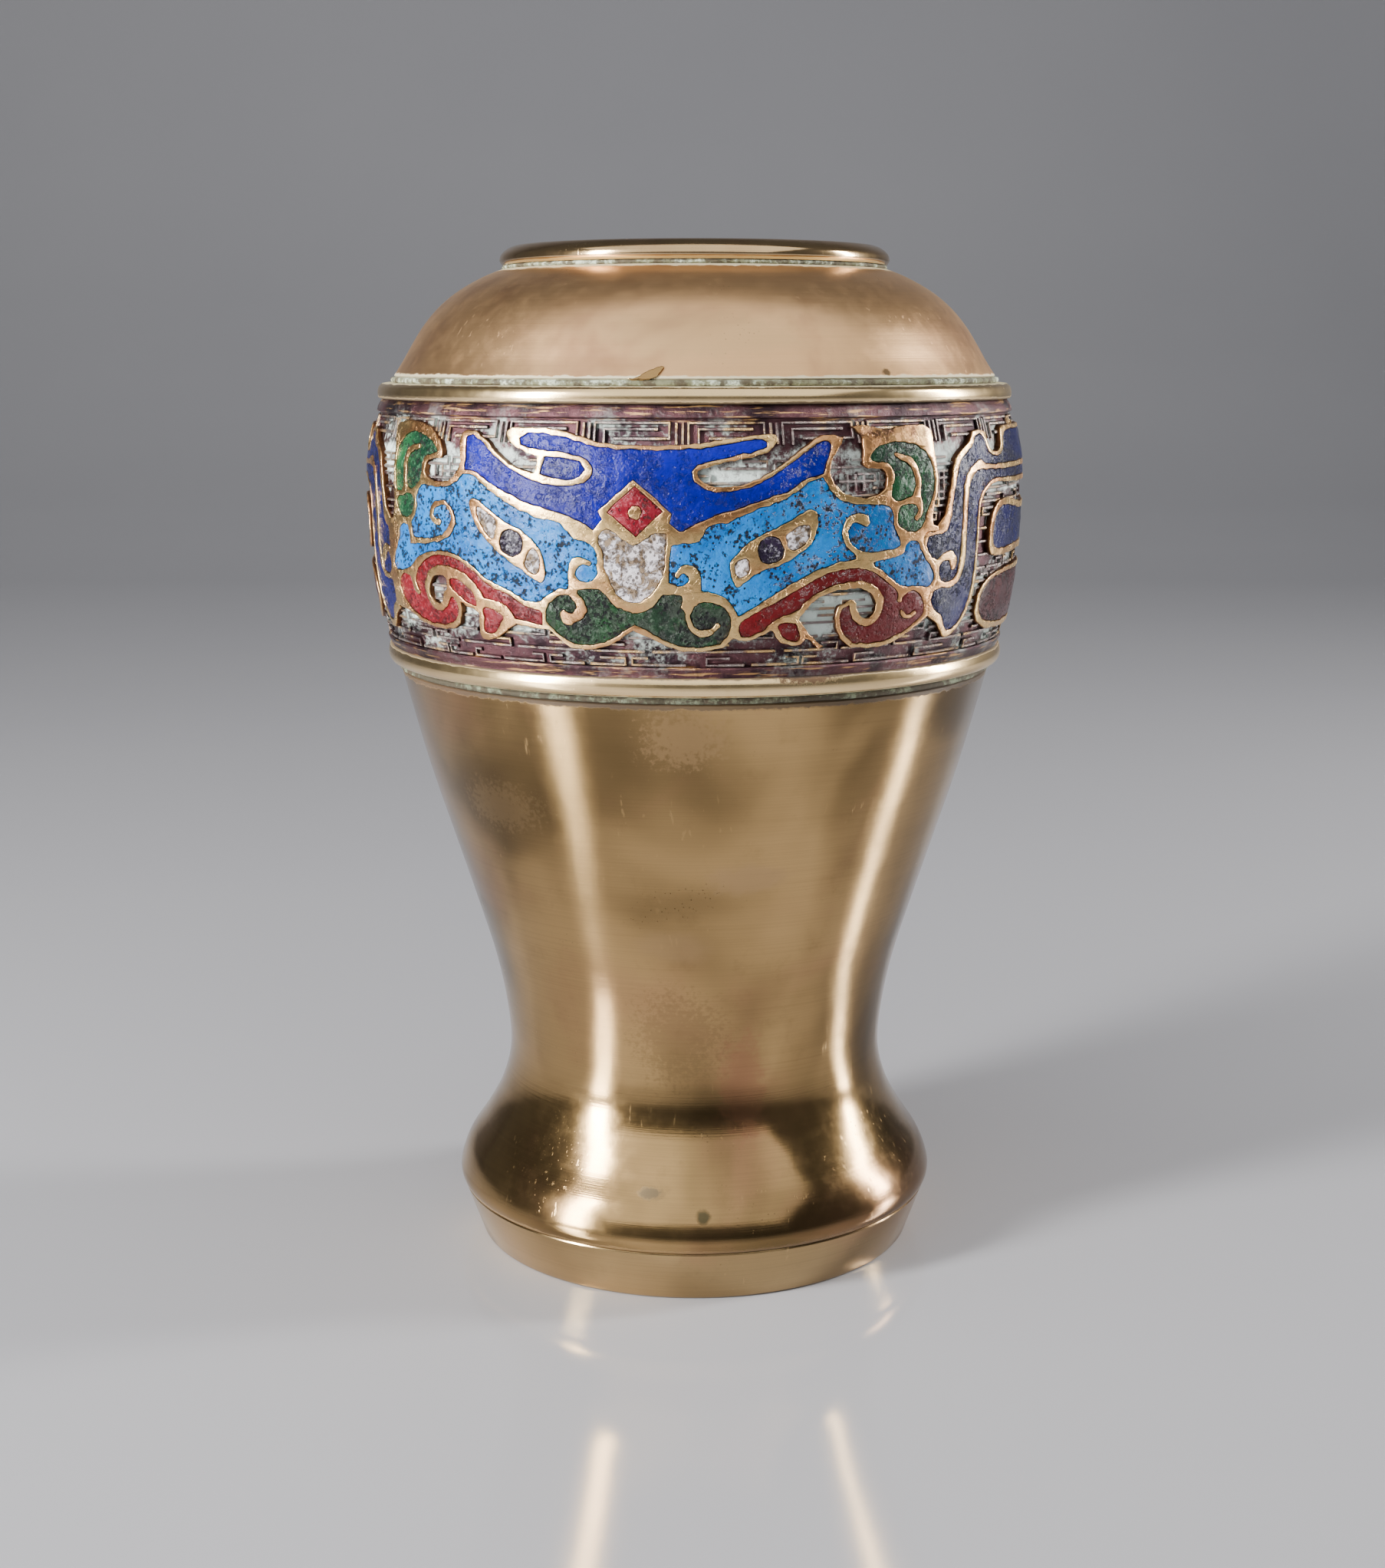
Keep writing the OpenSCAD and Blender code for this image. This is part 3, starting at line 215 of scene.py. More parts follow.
FACE_LEFT = [
    [(-15.9, 109.8), (-17, 110.5), (-18.9, 110.8), (-20, 111.8), (-21.3, 112.7),
        (-23, 113.2), (-25.3, 113.4), (-27, 114), (-29, 114.6), (-31.5, 115.6),
        (-34, 116.8), (-36, 117.9), (-37.2, 118.9)],
    [(-39.5, 118.9), (-40.5, 118), (-42, 117.3), (-44.5, 116.9), (-47, 116.9),
        (-49, 117.1), (-50.4, 116.6), (-51.2, 115.6), (-51.2, 114.3), (-51.8, 113.2),
        (-52.8, 112.3), (-53.1, 111.3), (-53, 110.1)],
    [(-51, 110), (-49, 110.1), (-46.5, 110.4), (-44.5, 111), (-43, 112), (-42.6, 113.2),
        (-43.2, 114.1), (-44.5, 114.5), (-46, 114.1), (-46.7, 113.4), (-46.2, 112.9),
        (-45.2, 112.9), (-44.6, 112.4), (-45.2, 111.9), (-46.5, 111.8), (-47.6, 112.4),
        (-47.9, 113.4), (-47.3, 114.6), (-46, 115.3), (-44, 115.4), (-42.3, 114.5),
        (-41.4, 113.2), (-41.6, 111.7), (-42.8, 110.5), (-44.5, 109.8), (-47, 109.3),
        (-50, 109), (-54.2, 108.8)],
    [(-54.3, 110), (-54.5, 111.4)],
    [(-56, 111.4), (-57.3, 110.9), (-57.7, 109.8), (-58.8, 108.3), (-60, 107.1),
        (-60.6, 105.9), (-59.8, 105.1), (-57.5, 105.3), (-54.6, 105.9)],
    [(-52.3, 107.2), (-50, 108), (-47.5, 108.4), (-45, 108.5), (-42, 108.2), (-39.5, 107.5),
        (-37.5, 106.5), (-35.5, 105.4), (-33.5, 104.7), (-31, 104), (-29, 103.2),
        (-27.2, 102.6), (-25.7, 102.6), (-24.5, 103.2), (-23, 104), (-21.5, 104.5),
        (-20.3, 104.5)],
    [(-20.1, 105.2), (-20.3, 106.2), (-20.1, 107.4), (-19.4, 108.4), (-18.2, 108.8),
        (-16.9, 108.5), (-16.2, 107.8), (-16.5, 107.4), (-17.6, 107.5), (-18.5, 107),
        (-18.7, 106.3), (-18.1, 105.7), (-17, 105.5), (-16, 105.8), (-15.5, 106.6),
        (-15.4, 107.7), (-15.3, 108.8)]
]
FACE_TAIL = [[
    (29.5, 107.5), (31, 107.7), (33, 107.9), (35, 108.5), (35.5, 109.5), (36.5, 110),
    (37.8, 109.9), (38.4, 109.1), (39.2, 108.1), (40.4, 107), (41.6, 106), (42, 105),
    (41.4, 104.1), (40.3, 103.9), (38.5, 104.1), (36.5, 104.2), (34.8, 104.4),
    (33.3, 105.2), (31.5, 106.3), (29.8, 107.1)
]]
HORN_RIGHT = [
    [(28.4, 121.3), (29.6, 122.3), (31.5, 122.9), (34, 123.1), (36.5, 122.9), (38.8, 122.2),
        (40.2, 121), (41, 119.3), (41.2, 117.5), (40.8, 115.8), (40, 114.6), (39.4, 113.6),
        (39, 112.5), (38.2, 111.8), (36.8, 111.5), (35.2, 111.7), (34, 112.4),
        (33.6, 113.4), (33.9, 114.3), (34.9, 114.9), (36.2, 114.9), (37.4, 114.6),
        (37.5, 113.9), (37, 113.2), (37.4, 112.7), (38.3, 113.1), (38.9, 113.9),
        (38.9, 115), (38.4, 116.2), (38.3, 118.2), (37.8, 119.9), (36.5, 121.2),
        (34.6, 121.8), (33, 121.7), (33.5, 121.1), (35.3, 120.3), (36.6, 119.1),
        (37, 117.6), (36.4, 116.4), (35.2, 115.9), (33.5, 115.7), (32.4, 116.2),
        (32.6, 117.4), (33, 118.7), (32.6, 119.9), (31.6, 120.7), (30, 120.8)],
    [(29.2, 120.9), (28.6, 121)]
]
HORN_LEFT = [
    [(-58.4, 116.4), (-58.5, 118), (-58.4, 120), (-57.9, 122), (-56.5, 123.2),
        (-54.5, 124), (-52, 124), (-49.5, 123.5), (-47.5, 122.7), (-46.2, 121.8),
        (-47.3, 121.5), (-49, 121.2), (-49.9, 120.3), (-50, 119.2), (-50.3, 118.2),
        (-51, 117.4), (-52.3, 116.8), (-53.8, 116.8), (-54.3, 118), (-54.3, 119.5),
        (-53.9, 120.8), (-52.8, 121.5), (-51.4, 121.8), (-50.8, 122.3), (-51.5, 122.7),
        (-53.2, 122.6), (-54.8, 121.9), (-55.6, 120.5), (-55.7, 118.5), (-55.7, 116.9)],
    [(-56.3, 116.2), (-57.8, 116.1)]
]
HORN_LEFT_CURL = [[
    (-58, 114.9), (-57.5, 113.8), (-56.5, 112.9), (-54.8, 112.6), (-53.3, 113.2),
    (-52.4, 114.2), (-52.6, 115.3), (-54, 115.7), (-56, 115.4)
]]
CHIN = [
    [(-23.2, 99.1), (-24.2, 100), (-24.1, 101.3), (-23.2, 102.5), (-21.7, 103.3),
        (-20.2, 103.3), (-19.3, 102.6), (-19.2, 101.8), (-19.8, 101.3), (-20.6, 101.5),
        (-21.3, 101.7), (-21.9, 101.2), (-21.8, 100.3), (-21.2, 99.5), (-20.3, 99.4),
        (-19.3, 99.8), (-18.1, 100.2), (-17.3, 101), (-17.1, 102), (-17.6, 103.1),
        (-18.6, 104.1)],
    [(-17, 104.3), (-15, 104.4)],
    [(-14.1, 103.6), (-12.7, 102.2), (-10.8, 101.5), (-9, 101.3), (-7.3, 101.7),
        (-6, 102.6), (-4.9, 103.8)],
    [(-3.5, 103.8), (-2.2, 103.6), (-2.1, 102.8), (-2.4, 102.1), (-1.8, 101.6),
        (-1.6, 100.8), (-1.2, 99.6), (-0.3, 98.7), (1, 98.2), (2.5, 98.3), (3.5, 99),
        (4.1, 99.9), (3.5, 100.3), (2.8, 99.8), (2, 99.4), (0.9, 99.4), (0, 99.9),
        (-0.5, 100.7), (-0.4, 101.7), (0.4, 102.4), (1.6, 102.8), (3.2, 102.6),
        (4.6, 101.9), (5.4, 100.9), (5.6, 99.7), (5.1, 98.5), (4, 97.6), (2.5, 97.2),
        (0.5, 97), (-1.5, 97.1), (-3.8, 97.6), (-6, 98.5), (-7.8, 99.4), (-9.6, 99.9)],
    [(-11.3, 99.1), (-13.5, 97.9), (-15.5, 97.3), (-18, 97), (-20, 97.3), (-21.6, 98)]
]
WHISKER_RIGHT = [
    [(7.4, 100.2), (9.5, 101.2), (12, 102.3), (14.5, 103.4), (17, 104.6), (19.5, 105.7),
        (22, 106.4), (24.5, 106.7), (27, 106.7), (29, 106.2), (31, 105.3), (33, 104.1),
        (34.3, 103.2), (34.6, 102.2), (35.1, 101.9), (35.5, 102.5), (36.4, 103.1),
        (37.6, 103.3), (38.9, 102.9), (39.8, 102), (40.2, 100.8), (40, 99.8),
        (38.5, 99), (36.5, 98.1), (34, 97.3), (31, 96.8), (28.5, 96.8), (26.5, 97)],
    [(25, 98), (24, 99.1), (23.8, 100.4), (24, 101.6)],
    [(25.2, 101.9), (25.4, 101), (26.2, 99.8), (27.5, 99.1), (29, 98.9), (30.6, 99.6),
        (31.5, 100.8), (31.8, 102), (31.3, 103.3), (30, 104.4), (28.3, 105.1),
        (26.3, 105.3), (23.5, 105.1), (21, 104.5), (19, 103.7), (17.5, 102.7),
        (16, 101.6), (14, 101), (12.3, 100.3), (10.8, 99.2), (9, 98.5), (7.4, 98.4)],
    [(7.1, 99), (7.1, 99.6)]
]
WHISKER_HOOK = [[
    (35.3, 101), (35.7, 100.1), (36.8, 99.5), (38.1, 99.7), (38.7, 100.5), (37.9, 100.6),
    (36.8, 100.3), (36, 100.7)
]]
WHISKER_RIGHT_SEED = [[
    (13.5, 99.6), (13.9, 98.7), (14.8, 97.9), (16.2, 97.6), (16.9, 97.9), (16.6, 98.9),
    (16, 99.7), (14.7, 99.9)
]]
WHISKER_LEFT = [
    [(-25, 101), (-26.5, 101.4), (-28.3, 101.8), (-30.3, 102.7), (-32.5, 103.5),
        (-35, 104.2), (-37, 105.3), (-39, 106.5), (-41.5, 107.3), (-44, 107.7),
        (-46.5, 107.7), (-49, 107.1), (-51, 106.2), (-52.6, 105), (-53.1, 103.9),
        (-52.7, 103), (-52.1, 102.4), (-52.6, 101.8), (-53.6, 102.1), (-54.4, 102.9),
        (-54.8, 103.9), (-55.6, 104.4), (-57, 104.5), (-58.4, 104), (-59, 102.9),
        (-58.3, 101.5), (-56.2, 100), (-53, 98.8), (-50, 98.4), (-46.5, 98.4),
        (-44.3, 98.8), (-42.9, 99.6), (-42.4, 100.6), (-42.6, 101.6), (-43.4, 102.1),
        (-44.2, 101.6), (-45, 100.6), (-46.5, 100), (-48.2, 100.1), (-49.7, 101),
        (-50.5, 102.4), (-50.4, 103.9), (-49.3, 105.4), (-47.3, 106.3), (-44.5, 106.6),
        (-41.5, 106.2), (-39, 105.3), (-37.2, 104), (-36, 102.6)],
    [(-34, 102.4), (-32, 101.9), (-30.7, 101), (-30, 100.1)],
    [(-28, 99.7), (-25.2, 99.5)]
]
WHISKER_LEFT_CURL = [[
    (-37.9, 101.5), (-38.6, 102.9), (-39.8, 103.8), (-41.5, 104.5), (-43.2, 104.7),
    (-43.6, 104), (-42.6, 103.2), (-41, 102.3), (-39.4, 101.6)
]]
WHISKER_LEFT_SEED = [[
    (-36.3, 101), (-34.5, 100.9), (-32.8, 100.2), (-33.4, 99.2), (-34.7, 98.1),
    (-36.3, 97.8), (-36.6, 98.9), (-36.3, 100)
]]
WHISKER_LEFT_EYE = [[
    (-44.6, 104.6), (-46, 105), (-47.6, 104.7), (-48.9, 103.7), (-49.2, 102.5),
    (-48.4, 101.6), (-47, 101.3), (-46, 101.8), (-45.4, 102.9), (-44.5, 103.6)
]]
NOSE = [
    [(-14.8, 111.4), (-14, 112.1), (-12.9, 112), (-11.2, 110.9), (-9.2, 110.2),
        (-7.6, 110.9), (-6.2, 111.6), (-4.5, 111.7)],
    [(-4.4, 110.5), (-4.7, 109), (-4.8, 107.6), (-5.2, 106.2), (-6.2, 104.7),
        (-7.5, 103.6), (-9.3, 102.9), (-11, 103.2), (-12.2, 104.1), (-13, 105.3),
        (-13.7, 106.6), (-14.1, 108), (-14.2, 109.3), (-14.8, 110.3)]
]
DIAMOND = [[(-9.2, 117.8), (-5, 114.7)], [(-9.1, 111.5), (-13.4, 114.6)]]
EYE_RIGHT = [[
    (5.3, 107.8), (5.6, 106.6), (6, 105.2), (6.9, 104.7), (8.8, 106.1), (11, 107),
    (13.5, 107.7), (16, 108.8), (18.2, 110.3), (19.2, 112), (19.4, 113.6), (18.9, 114.7),
    (17.6, 114.8), (16, 114.2), (14, 113.2), (12, 112.4), (10, 111.7), (8, 110.6),
    (6.4, 109.2)
]]
EYE_LEFT = [[
    (-38.2, 115.5), (-37.3, 116), (-35.5, 115.3), (-33, 113.9), (-30.5, 112.8),
    (-28, 111.9), (-26.3, 111), (-25, 109.8), (-24.1, 108.2), (-23.8, 106.8),
    (-24.2, 105.4), (-25.1, 104.9), (-26.3, 105.4), (-28.5, 106.6), (-31, 107.7),
    (-33.3, 109), (-35.5, 110.6), (-37.3, 112.4), (-38.1, 114.1)
]]
WHITES = [
    [[(14.4, 111.4), (15.4, 112.1), (16.8, 112.6), (17.8, 112.4), (17.9, 111.3),
        (17.2, 110.3), (15.8, 109.7), (14.6, 109.9), (14.3, 110.6)]],
    [[(6.1, 107.4), (6.8, 108.3), (7.9, 108.5), (8.3, 107.5), (8, 106.5), (7, 106.2),
        (6.3, 106.6)]],
    [[(-36.5, 114.5), (-35.8, 114.4), (-34.5, 113.8), (-33.1, 113.1), (-32.8, 112.4),
        (-33.2, 111.6), (-33.5, 110.8), (-34.4, 111.1), (-35.5, 112.2), (-36.3, 113.4)]],
    [[(-26.1, 109.5), (-25.3, 108.9), (-25, 107.8), (-25.3, 106.6), (-26.2, 106.3),
        (-27.2, 106.9), (-27.5, 107.7), (-26.8, 108.7)]]
]
PANEL_TOP_HALF = [
    [(44, 113.5), (44.6, 115.6), (45.4, 118), (46.3, 120.2), (47.7, 121.6), (49.5, 122.4),
        (51.3, 123.2), (52.8, 124.3), (55, 124.6), (57.2, 124.2)],
    [(57.4, 123), (58.1, 122), (59.6, 121.5), (61.4, 121.6), (62.7, 122.4), (63.3, 123.6),
        (64.2, 124.7), (67, 125)]
]
PANEL_ARCH_HALF = [
    [(41.5, 99.6), (43, 98.9), (44.6, 98), (46, 96.7), (47.6, 96.2), (49.8, 97),
        (51.8, 98.7), (53.2, 100.8), (53.9, 103), (54, 108), (54, 113.4), (54.9, 115.2),
        (56.6, 116.3), (59, 117), (62, 117), (66, 116.8), (72, 116.7)]
]
PANEL_UPPER_HALF = [
    [(62, 119.8), (58, 119.8), (55.6, 120), (53.6, 120.6), (51.9, 119.9), (50.4, 119.2),
        (49.2, 118), (48.6, 116), (48.5, 112), (48.5, 108.5), (48.3, 106.4), (47.6, 105),
        (46.2, 104.3), (44.4, 104.4), (43.5, 105.3), (43.6, 106.5), (44.6, 107.1),
        (45.6, 106.8), (46.1, 105.9), (46.9, 105.6), (47.7, 106.2), (47.8, 107.2),
        (47, 108.1), (45.8, 108.5), (44.4, 108.3), (43.2, 107.8), (42.3, 107.4),
        (41.3, 107.7), (40.6, 108.5), (40.1, 109.5), (40.5, 110.5)],
    [(42, 110.6), (43.5, 110.7), (44.8, 111.3), (45.6, 112.6), (46.1, 115), (46.9, 117.8),
        (47.8, 119.7), (49, 120.8), (50.6, 121.5), (52.2, 122.3), (53.3, 123.3),
        (54.6, 123.7), (56, 123.3), (56.6, 122.2), (57.6, 121.1), (59.5, 120.7),
        (61.8, 120.8), (63.5, 121.6), (64.5, 122.9), (66, 123.8), (70, 124.1)]
]
PANEL_LOWER_HALF = [
    [(70, 118.8), (62, 118.8), (56, 118.9), (53, 118.8), (51.4, 118), (50.4, 116.5),
        (50.2, 113), (50.2, 108), (50, 106), (49.2, 104.5), (47.8, 103.6), (46, 103.2),
        (44.3, 103.3), (42.2, 103)],
    [(42.1, 102), (42.5, 101.2), (43.6, 100.4), (45, 99.8), (45.9, 98.8), (46.7, 97.8),
        (47.8, 97.5), (49.5, 98), (51, 99.3), (51.9, 100.9), (52.6, 103.2), (53, 106),
        (53.1, 110), (53.2, 113.8), (54.2, 115.9), (56.2, 117.1), (59, 117.8),
        (64, 117.8), (70, 117.7)]
]
SCROLL_HALF = [
    [(75, 106.9), (70, 106.8), (65, 106.6), (61, 106.7), (58.6, 107.2), (57.7, 109),
        (57.9, 111.5), (59, 113.4), (61.2, 114.6), (64.5, 114.9), (69, 114.5), (75, 113.9)]
]
SCROLL_CELL_HALF = [
    [(75, 108.2), (70, 108.1), (65, 107.9), (61.6, 108), (59.8, 108.7), (59.3, 110.2),
        (59.9, 112), (61.6, 113.3), (64.5, 113.7), (69, 113.3), (75, 112.7)]
]
LOBE_HALF = [
    [(75, 96), (68, 96), (62, 96.3), (58.2, 97.1), (56, 98.4), (55.1, 100.1),
        (55.6, 101.9), (57.4, 103.4), (60.5, 104.4), (65, 104.9), (70, 105.1), (75, 105.1)]
]
LOBE_CELL_HALF = [
    [(75, 97.2), (68, 97.2), (62.6, 97.5), (59, 98.2), (57.1, 99.3), (56.5, 100.5),
        (57.2, 102), (59.2, 103.1), (62, 103.7), (66, 104), (70, 104.1), (75, 104.1)]
]
PUPILS = [(11.8, 109.6), (-30, 110.1)]
DIAMOND_DOT = (-9.2, 114.5)
# A sliver of metal that stands over the upper seam
BURR = [[
    (-11.2, 131.4), (-9.6, 131.7), (-8.2, 132.3), (-6.6, 132.9), (-5.2, 133), (-5.9, 132.3),
    (-6.6, 131.6), (-8.4, 131.3), (-10, 131.2),
]]


# ---- Curves ----
def spline(a, b, c, d, t):
    """The point at t on a smooth curve from b to c."""
    return tuple(
        0.5 * (2 * q + (r - p) * t + (2 * p - 5 * q + 4 * r - s) * t * t
               + (3 * q - p - 3 * r + s) * t ** 3)
        for p, q, r, s in zip(a, b, c, d)
    )


def smooth_run(points, steps=5):
    """A curve through an open row of points. Two points stay a straight line."""
    if len(points) < 3:
        return list(points)
    rows = [points[0], *points, points[-1]]
    made = [
        spline(*rows[i:i + 4], k / steps)
        for i in range(len(points) - 1)
        for k in range(steps)
    ]
    return made + [points[-1]]


def smooth_loop(points, steps=5):
    """A closed curve through a ring of points."""
    n = len(points)
    return [
        spline(*(points[(i + j) % n] for j in (-1, 0, 1, 2)), k / steps)
        for i in range(n)
        for k in range(steps)
    ]


def outline(runs):
    """A closed line from one smooth loop, or from runs that meet at corners."""
    if len(runs) == 1:
        return smooth_loop(runs[0])
    return [p for run in runs for p in smooth_run(run)]


def profile_radius(profile):
    """A function that gives the radius of a smooth profile at any height."""
    fine = sorted((z, r) for r, z in smooth_run(profile, 8))

    def radius(z):
        for (z0, r0), (z1, r1) in zip(fine, fine[1:]):
            if z <= z1:
                return r0 + (r1 - r0) * max(0.0, (z - z0) / (z1 - z0))
        return fine[-1][1]
    return radius


barrel_radius = profile_radius(BARREL)
dome_radius = profile_radius(DOME)


def unroll(points):
    """Degrees and heights, as lengths along the unrolled band."""
    return [(math.radians(a) * BAND_R, z) for a, z in points]


def ring_round(centre, radius):
    """A circle on the unrolled band."""
    s, z = unroll([centre])[0]
    turn = 2 * math.pi / 32
    return [(s + radius * math.cos(k * turn), z + radius * math.sin(k * turn)) for k in range(32)]


def flipped(run):
    """A run turned over about the panel's middle, and backwards."""
    return [(2 * PANEL_AXIS - a, z) for a, z in reversed(run)]


def pressed(runs):
    """The runs with no point before the panel's edge."""
    return [[(max(a, PANEL_EDGE), z) for a, z in run] for run in runs]


def whole(half):
    """Both halves of a panel's cell; the far one is flat against the next mask."""
    return half + [flipped(run) for run in reversed(pressed(half))]


# ---- Turned pieces ----
def wall(profile, low, high):
    """A smooth profile, and the line of the wall's inside between two heights, backwards."""
    outer = smooth_run(profile)
    inner = []
    for i in range(len(outer) - 1, -1, -1):
        before = outer[max(i - 1, 0)]
        after = outer[min(i + 1, len(outer) - 1)]
        along = Vector((after[0] - before[0], after[1] - before[1])).normalized()
        r = outer[i][0] - THICK * along.y
        z = outer[i][1] + THICK * along.x
        if low < z < high:
            inner.append((r, z))
    return outer, inner


def turned(section, steps=216):
    """A closed section spun round the vase's axis. It may have one side on the axis."""
    bm = bmesh.new()
    ring = [bm.verts.new((0, -r * MM, z * MM)) for r, z in section]
    for a, b in zip(ring, ring[1:] + ring[:1]):
        if a.co.y or b.co.y:
            bm.edges.new((a, b))
    bmesh.ops.spin(
        bm, geom=bm.verts[:] + bm.edges[:], cent=(0, 0, 0), axis=(0, 0, 1),
        angle=2 * math.pi, steps=steps, use_merge=True,
    )
    bmesh.ops.remove_doubles(bm, verts=bm.verts[:], dist=1e-6)
    bmesh.ops.recalc_face_normals(bm, faces=bm.faces[:])
    return bm


def line_inside(bm):
    """Gives the faces that look at the axis the second material."""
    for face in bm.faces:
        out = face.calc_center_median()
        out.z = 0
        if face.normal.dot(out.normalized()) < -0.25:
            face.material_index = 1


def piece(name, bm, materials, slot, *nodes, sharp=35):
    """A finished piece from a bmesh. A second material is for the inside."""
    mesh = bpy.data.meshes.new(name)
    if len(materials) > 1:
        line_inside(bm)
    bm.to_mesh(mesh)
    bm.free()
    for m in materials:
        mesh.materials.append(m)
    put_out(name, mesh, slot, *nodes, sharp=sharp)


def put_out(name, mesh, slot, *nodes, sharp=35):
    """Smooths a mesh between its sharp edges and puts it in the scene as a finished piece."""
    mesh.polygons.foreach_set("use_smooth", [True] * len(mesh.polygons))
    mesh.set_sharp_from_angle(angle=math.radians(sharp))
    made = bpy.data.objects.new(name, mesh)
    bpy.context.scene.collection.objects.link(made)
    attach(made, "root")
    if nodes:
        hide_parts(*nodes)


def dent(bm, amount, pitch, seed):
    """Sinks smooth, uneven hollows into a turned piece, as deep as the amount."""
    for v in bm.verts:
        out = Vector((v.co.x, v.co.y, 0)).normalized()
        level = noise.noise(v.co / (pitch * MM) + Vector((seed, 0, 0)))
        v.co += out * max(-1.0, min(0.0, level)) * amount * MM


# ---- The relief: flat drawings laid round the barrel ----
def encloses(points, at):
    """Whether an outline goes round a point."""
    inside = False
    for (ax, az), (bx, bz) in zip(points, points[1:] + points[:1]):
        if (az > at[1]) != (bz > at[1]) and at[0] < ax + (at[1] - az) * (bx - ax) / (bz - az):
            inside = not inside
    return inside


def into_metal(points, outlines):
    """For each point of an outline, the direction in which the metal lies."""
    depth = sum(encloses(other, points[0]) for other in outlines if other is not points)
    area = sum(a[0] * b[1] - b[0] * a[1] for a, b in zip(points, points[1:] + points[:1]))
    side = 1 if (area > 0) == (depth % 2 == 0) else -1
    ways = []
    for k, p in enumerate(points):
        before = points[k - 1]
        after = points[(k + 1) % len(points)]
        ways.append(Vector((before[1] - after[1], after[0] - before[0], 0)).normalized() * side)
    return ways


def worn_back(outlines):
    """Draws outlines back into their walls, but less where a wall is thin."""
    known = [(Vector((*p, 0)), way) for points in outlines
             for p, way in zip(points, into_metal(points, outlines))]
    tree = KDTree(len(known))
    for k, (p, way) in enumerate(known):
        tree.insert(p, k)
    tree.balance()
    shifts = []
    for p, way in known:
        across = [d for q, k, d in tree.find_range(p, WALL_REACH)
                  if known[k][1].dot(way) < -0.2 and (q - p).dot(way) > 0.5 * d]
        spare = min(across, default=WALL_REACH) - LEAST_WALL
        shifts.append(max(0.0, min(WORN, spare / 2)))
    worn = []
    for points in outlines:
        n = len(points)
        mine = shifts[:n]
        del shifts[:n]
        pairs, known = known[:n], known[n:]
        eased = [min(mine[k], (mine[k - 2] + mine[k - 1] + mine[k] + mine[(k + 1) % n]
                               + mine[(k + 2) % n]) / 5) for k in range(n)]
        worn.append(unfolded([(p, p + way * shift) for (p, way), shift in zip(pairs, eased)]))
    return worn


def unfolded(moves):
    """The moved points of an outline, without those that now crowd or run backwards."""
    kept = moves[:1]
    for old, new in moves[1:]:
        step = new - kept[-1][1]
        if step.length > CROWDED and step.dot(old - kept[-1][0]) > 0:
            kept.append((old, new))
    while (kept[0][1] - kept[-1][1]).length < CROWDED:
        kept.pop()
    return [tuple(new[:2]) for old, new in kept]


def flat_solid(outlines, low, high, edge, gap=0.0):
    """A flat drawing with holes, made solid between two levels, with rounded edges.
    The gap keeps it back from its own outline."""
    drawing = bpy.data.curves.new("drawing", "CURVE")
    drawing.dimensions = "2D"
    drawing.fill_mode = "BOTH"
    drawing.extrude = ((high - low) / 2 - edge) * MM
    drawing.bevel_depth = edge * MM
    drawing.bevel_resolution = 1
    drawing.offset = -(edge + gap) * MM
    for points in outlines:
        line = drawing.splines.new("POLY")
        line.points.add(len(points) - 1)
        for p, (s, z) in zip(line.points, points):
            p.co = (s * MM, z * MM, 0, 1)
        line.use_cyclic_u = True
    return taken_as_mesh(drawing, (high + low) / 2)


def taken_as_mesh(drawing, level):
    """A curve as a bmesh, raised to a level."""
    holder = bpy.data.objects.new("drawing", drawing)
    bpy.context.scene.collection.objects.link(holder)
    depsgraph = bpy.context.evaluated_depsgraph_get()
    mesh = bpy.data.meshes.new_from_object(holder.evaluated_get(depsgraph))
    bm = bmesh.new()
    bm.from_mesh(mesh)
    bpy.data.objects.remove(holder)
    bpy.data.curves.remove(drawing)
    bpy.data.meshes.remove(mesh)
    bmesh.ops.remove_doubles(bm, verts=bm.verts[:], dist=2e-6)
    bmesh.ops.translate(bm, verts=bm.verts[:], vec=(0, 0, level * MM))
    return bm


def cut_into_squares(bm, pitch=SQUARE):
    """Cuts a flat drawing along a grid, so that it can bend round the barrel."""
    for axis in (0, 1):
        low = min(v.co[axis] for v in bm.verts)
        high = max(v.co[axis] for v in bm.verts)
        cut = (math.floor(low / (pitch * MM)) + 1) * pitch * MM
        while cut < high:
            at = Vector((0, 0, 0))
            at[axis] = cut
            across = Vector((0, 0, 0))
            across[axis] = 1
            bmesh.ops.bisect_plane(
                bm, geom=bm.verts[:] + bm.edges[:] + bm.faces[:], dist=1e-7,
                plane_co=at, plane_no=across,
            )
            cut += pitch * MM


def by_hand(s, z):
    """Shifts a point of the drawing a little, as a hand-cut edge wanders."""
    at = Vector((s, z, 0))
    return (s + 0.16 * noise.noise(at * 0.9) + 0.1 * noise.noise(at * 2.3 + Vector((9, 0, 0))),
            z + 0.16 * noise.noise(at * 0.9 + Vector((0, 0, 7)))
            + 0.1 * noise.noise(at * 2.3 + Vector((0, 9, 0))))


def on_side(a, z, radius):
    """A place on the vase's side, in metres. The angle is in radians."""
    return Vector((radius * math.sin(a), -radius * math.cos(a), z)) * MM


def lay_round(bm, radius=barrel_radius, highest=0.0, wave=0.0, seed=0):
    """Bends a flat drawing round the vase and notes how high each point stands over the ground."""
    rise = bm.verts.layers.float.new("rise")
    for v in bm.verts:
        s, z, level = v.co / MM
        s, z = by_hand(s, z)
        if wave and level > GROUND / 2:
            level += wave * noise.noise(Vector((s * 0.55, z * 0.55, seed)))
        v[rise] = level - GROUND
        v.co = on_side(s / BAND_R, z, radius(z) + min(level, highest))


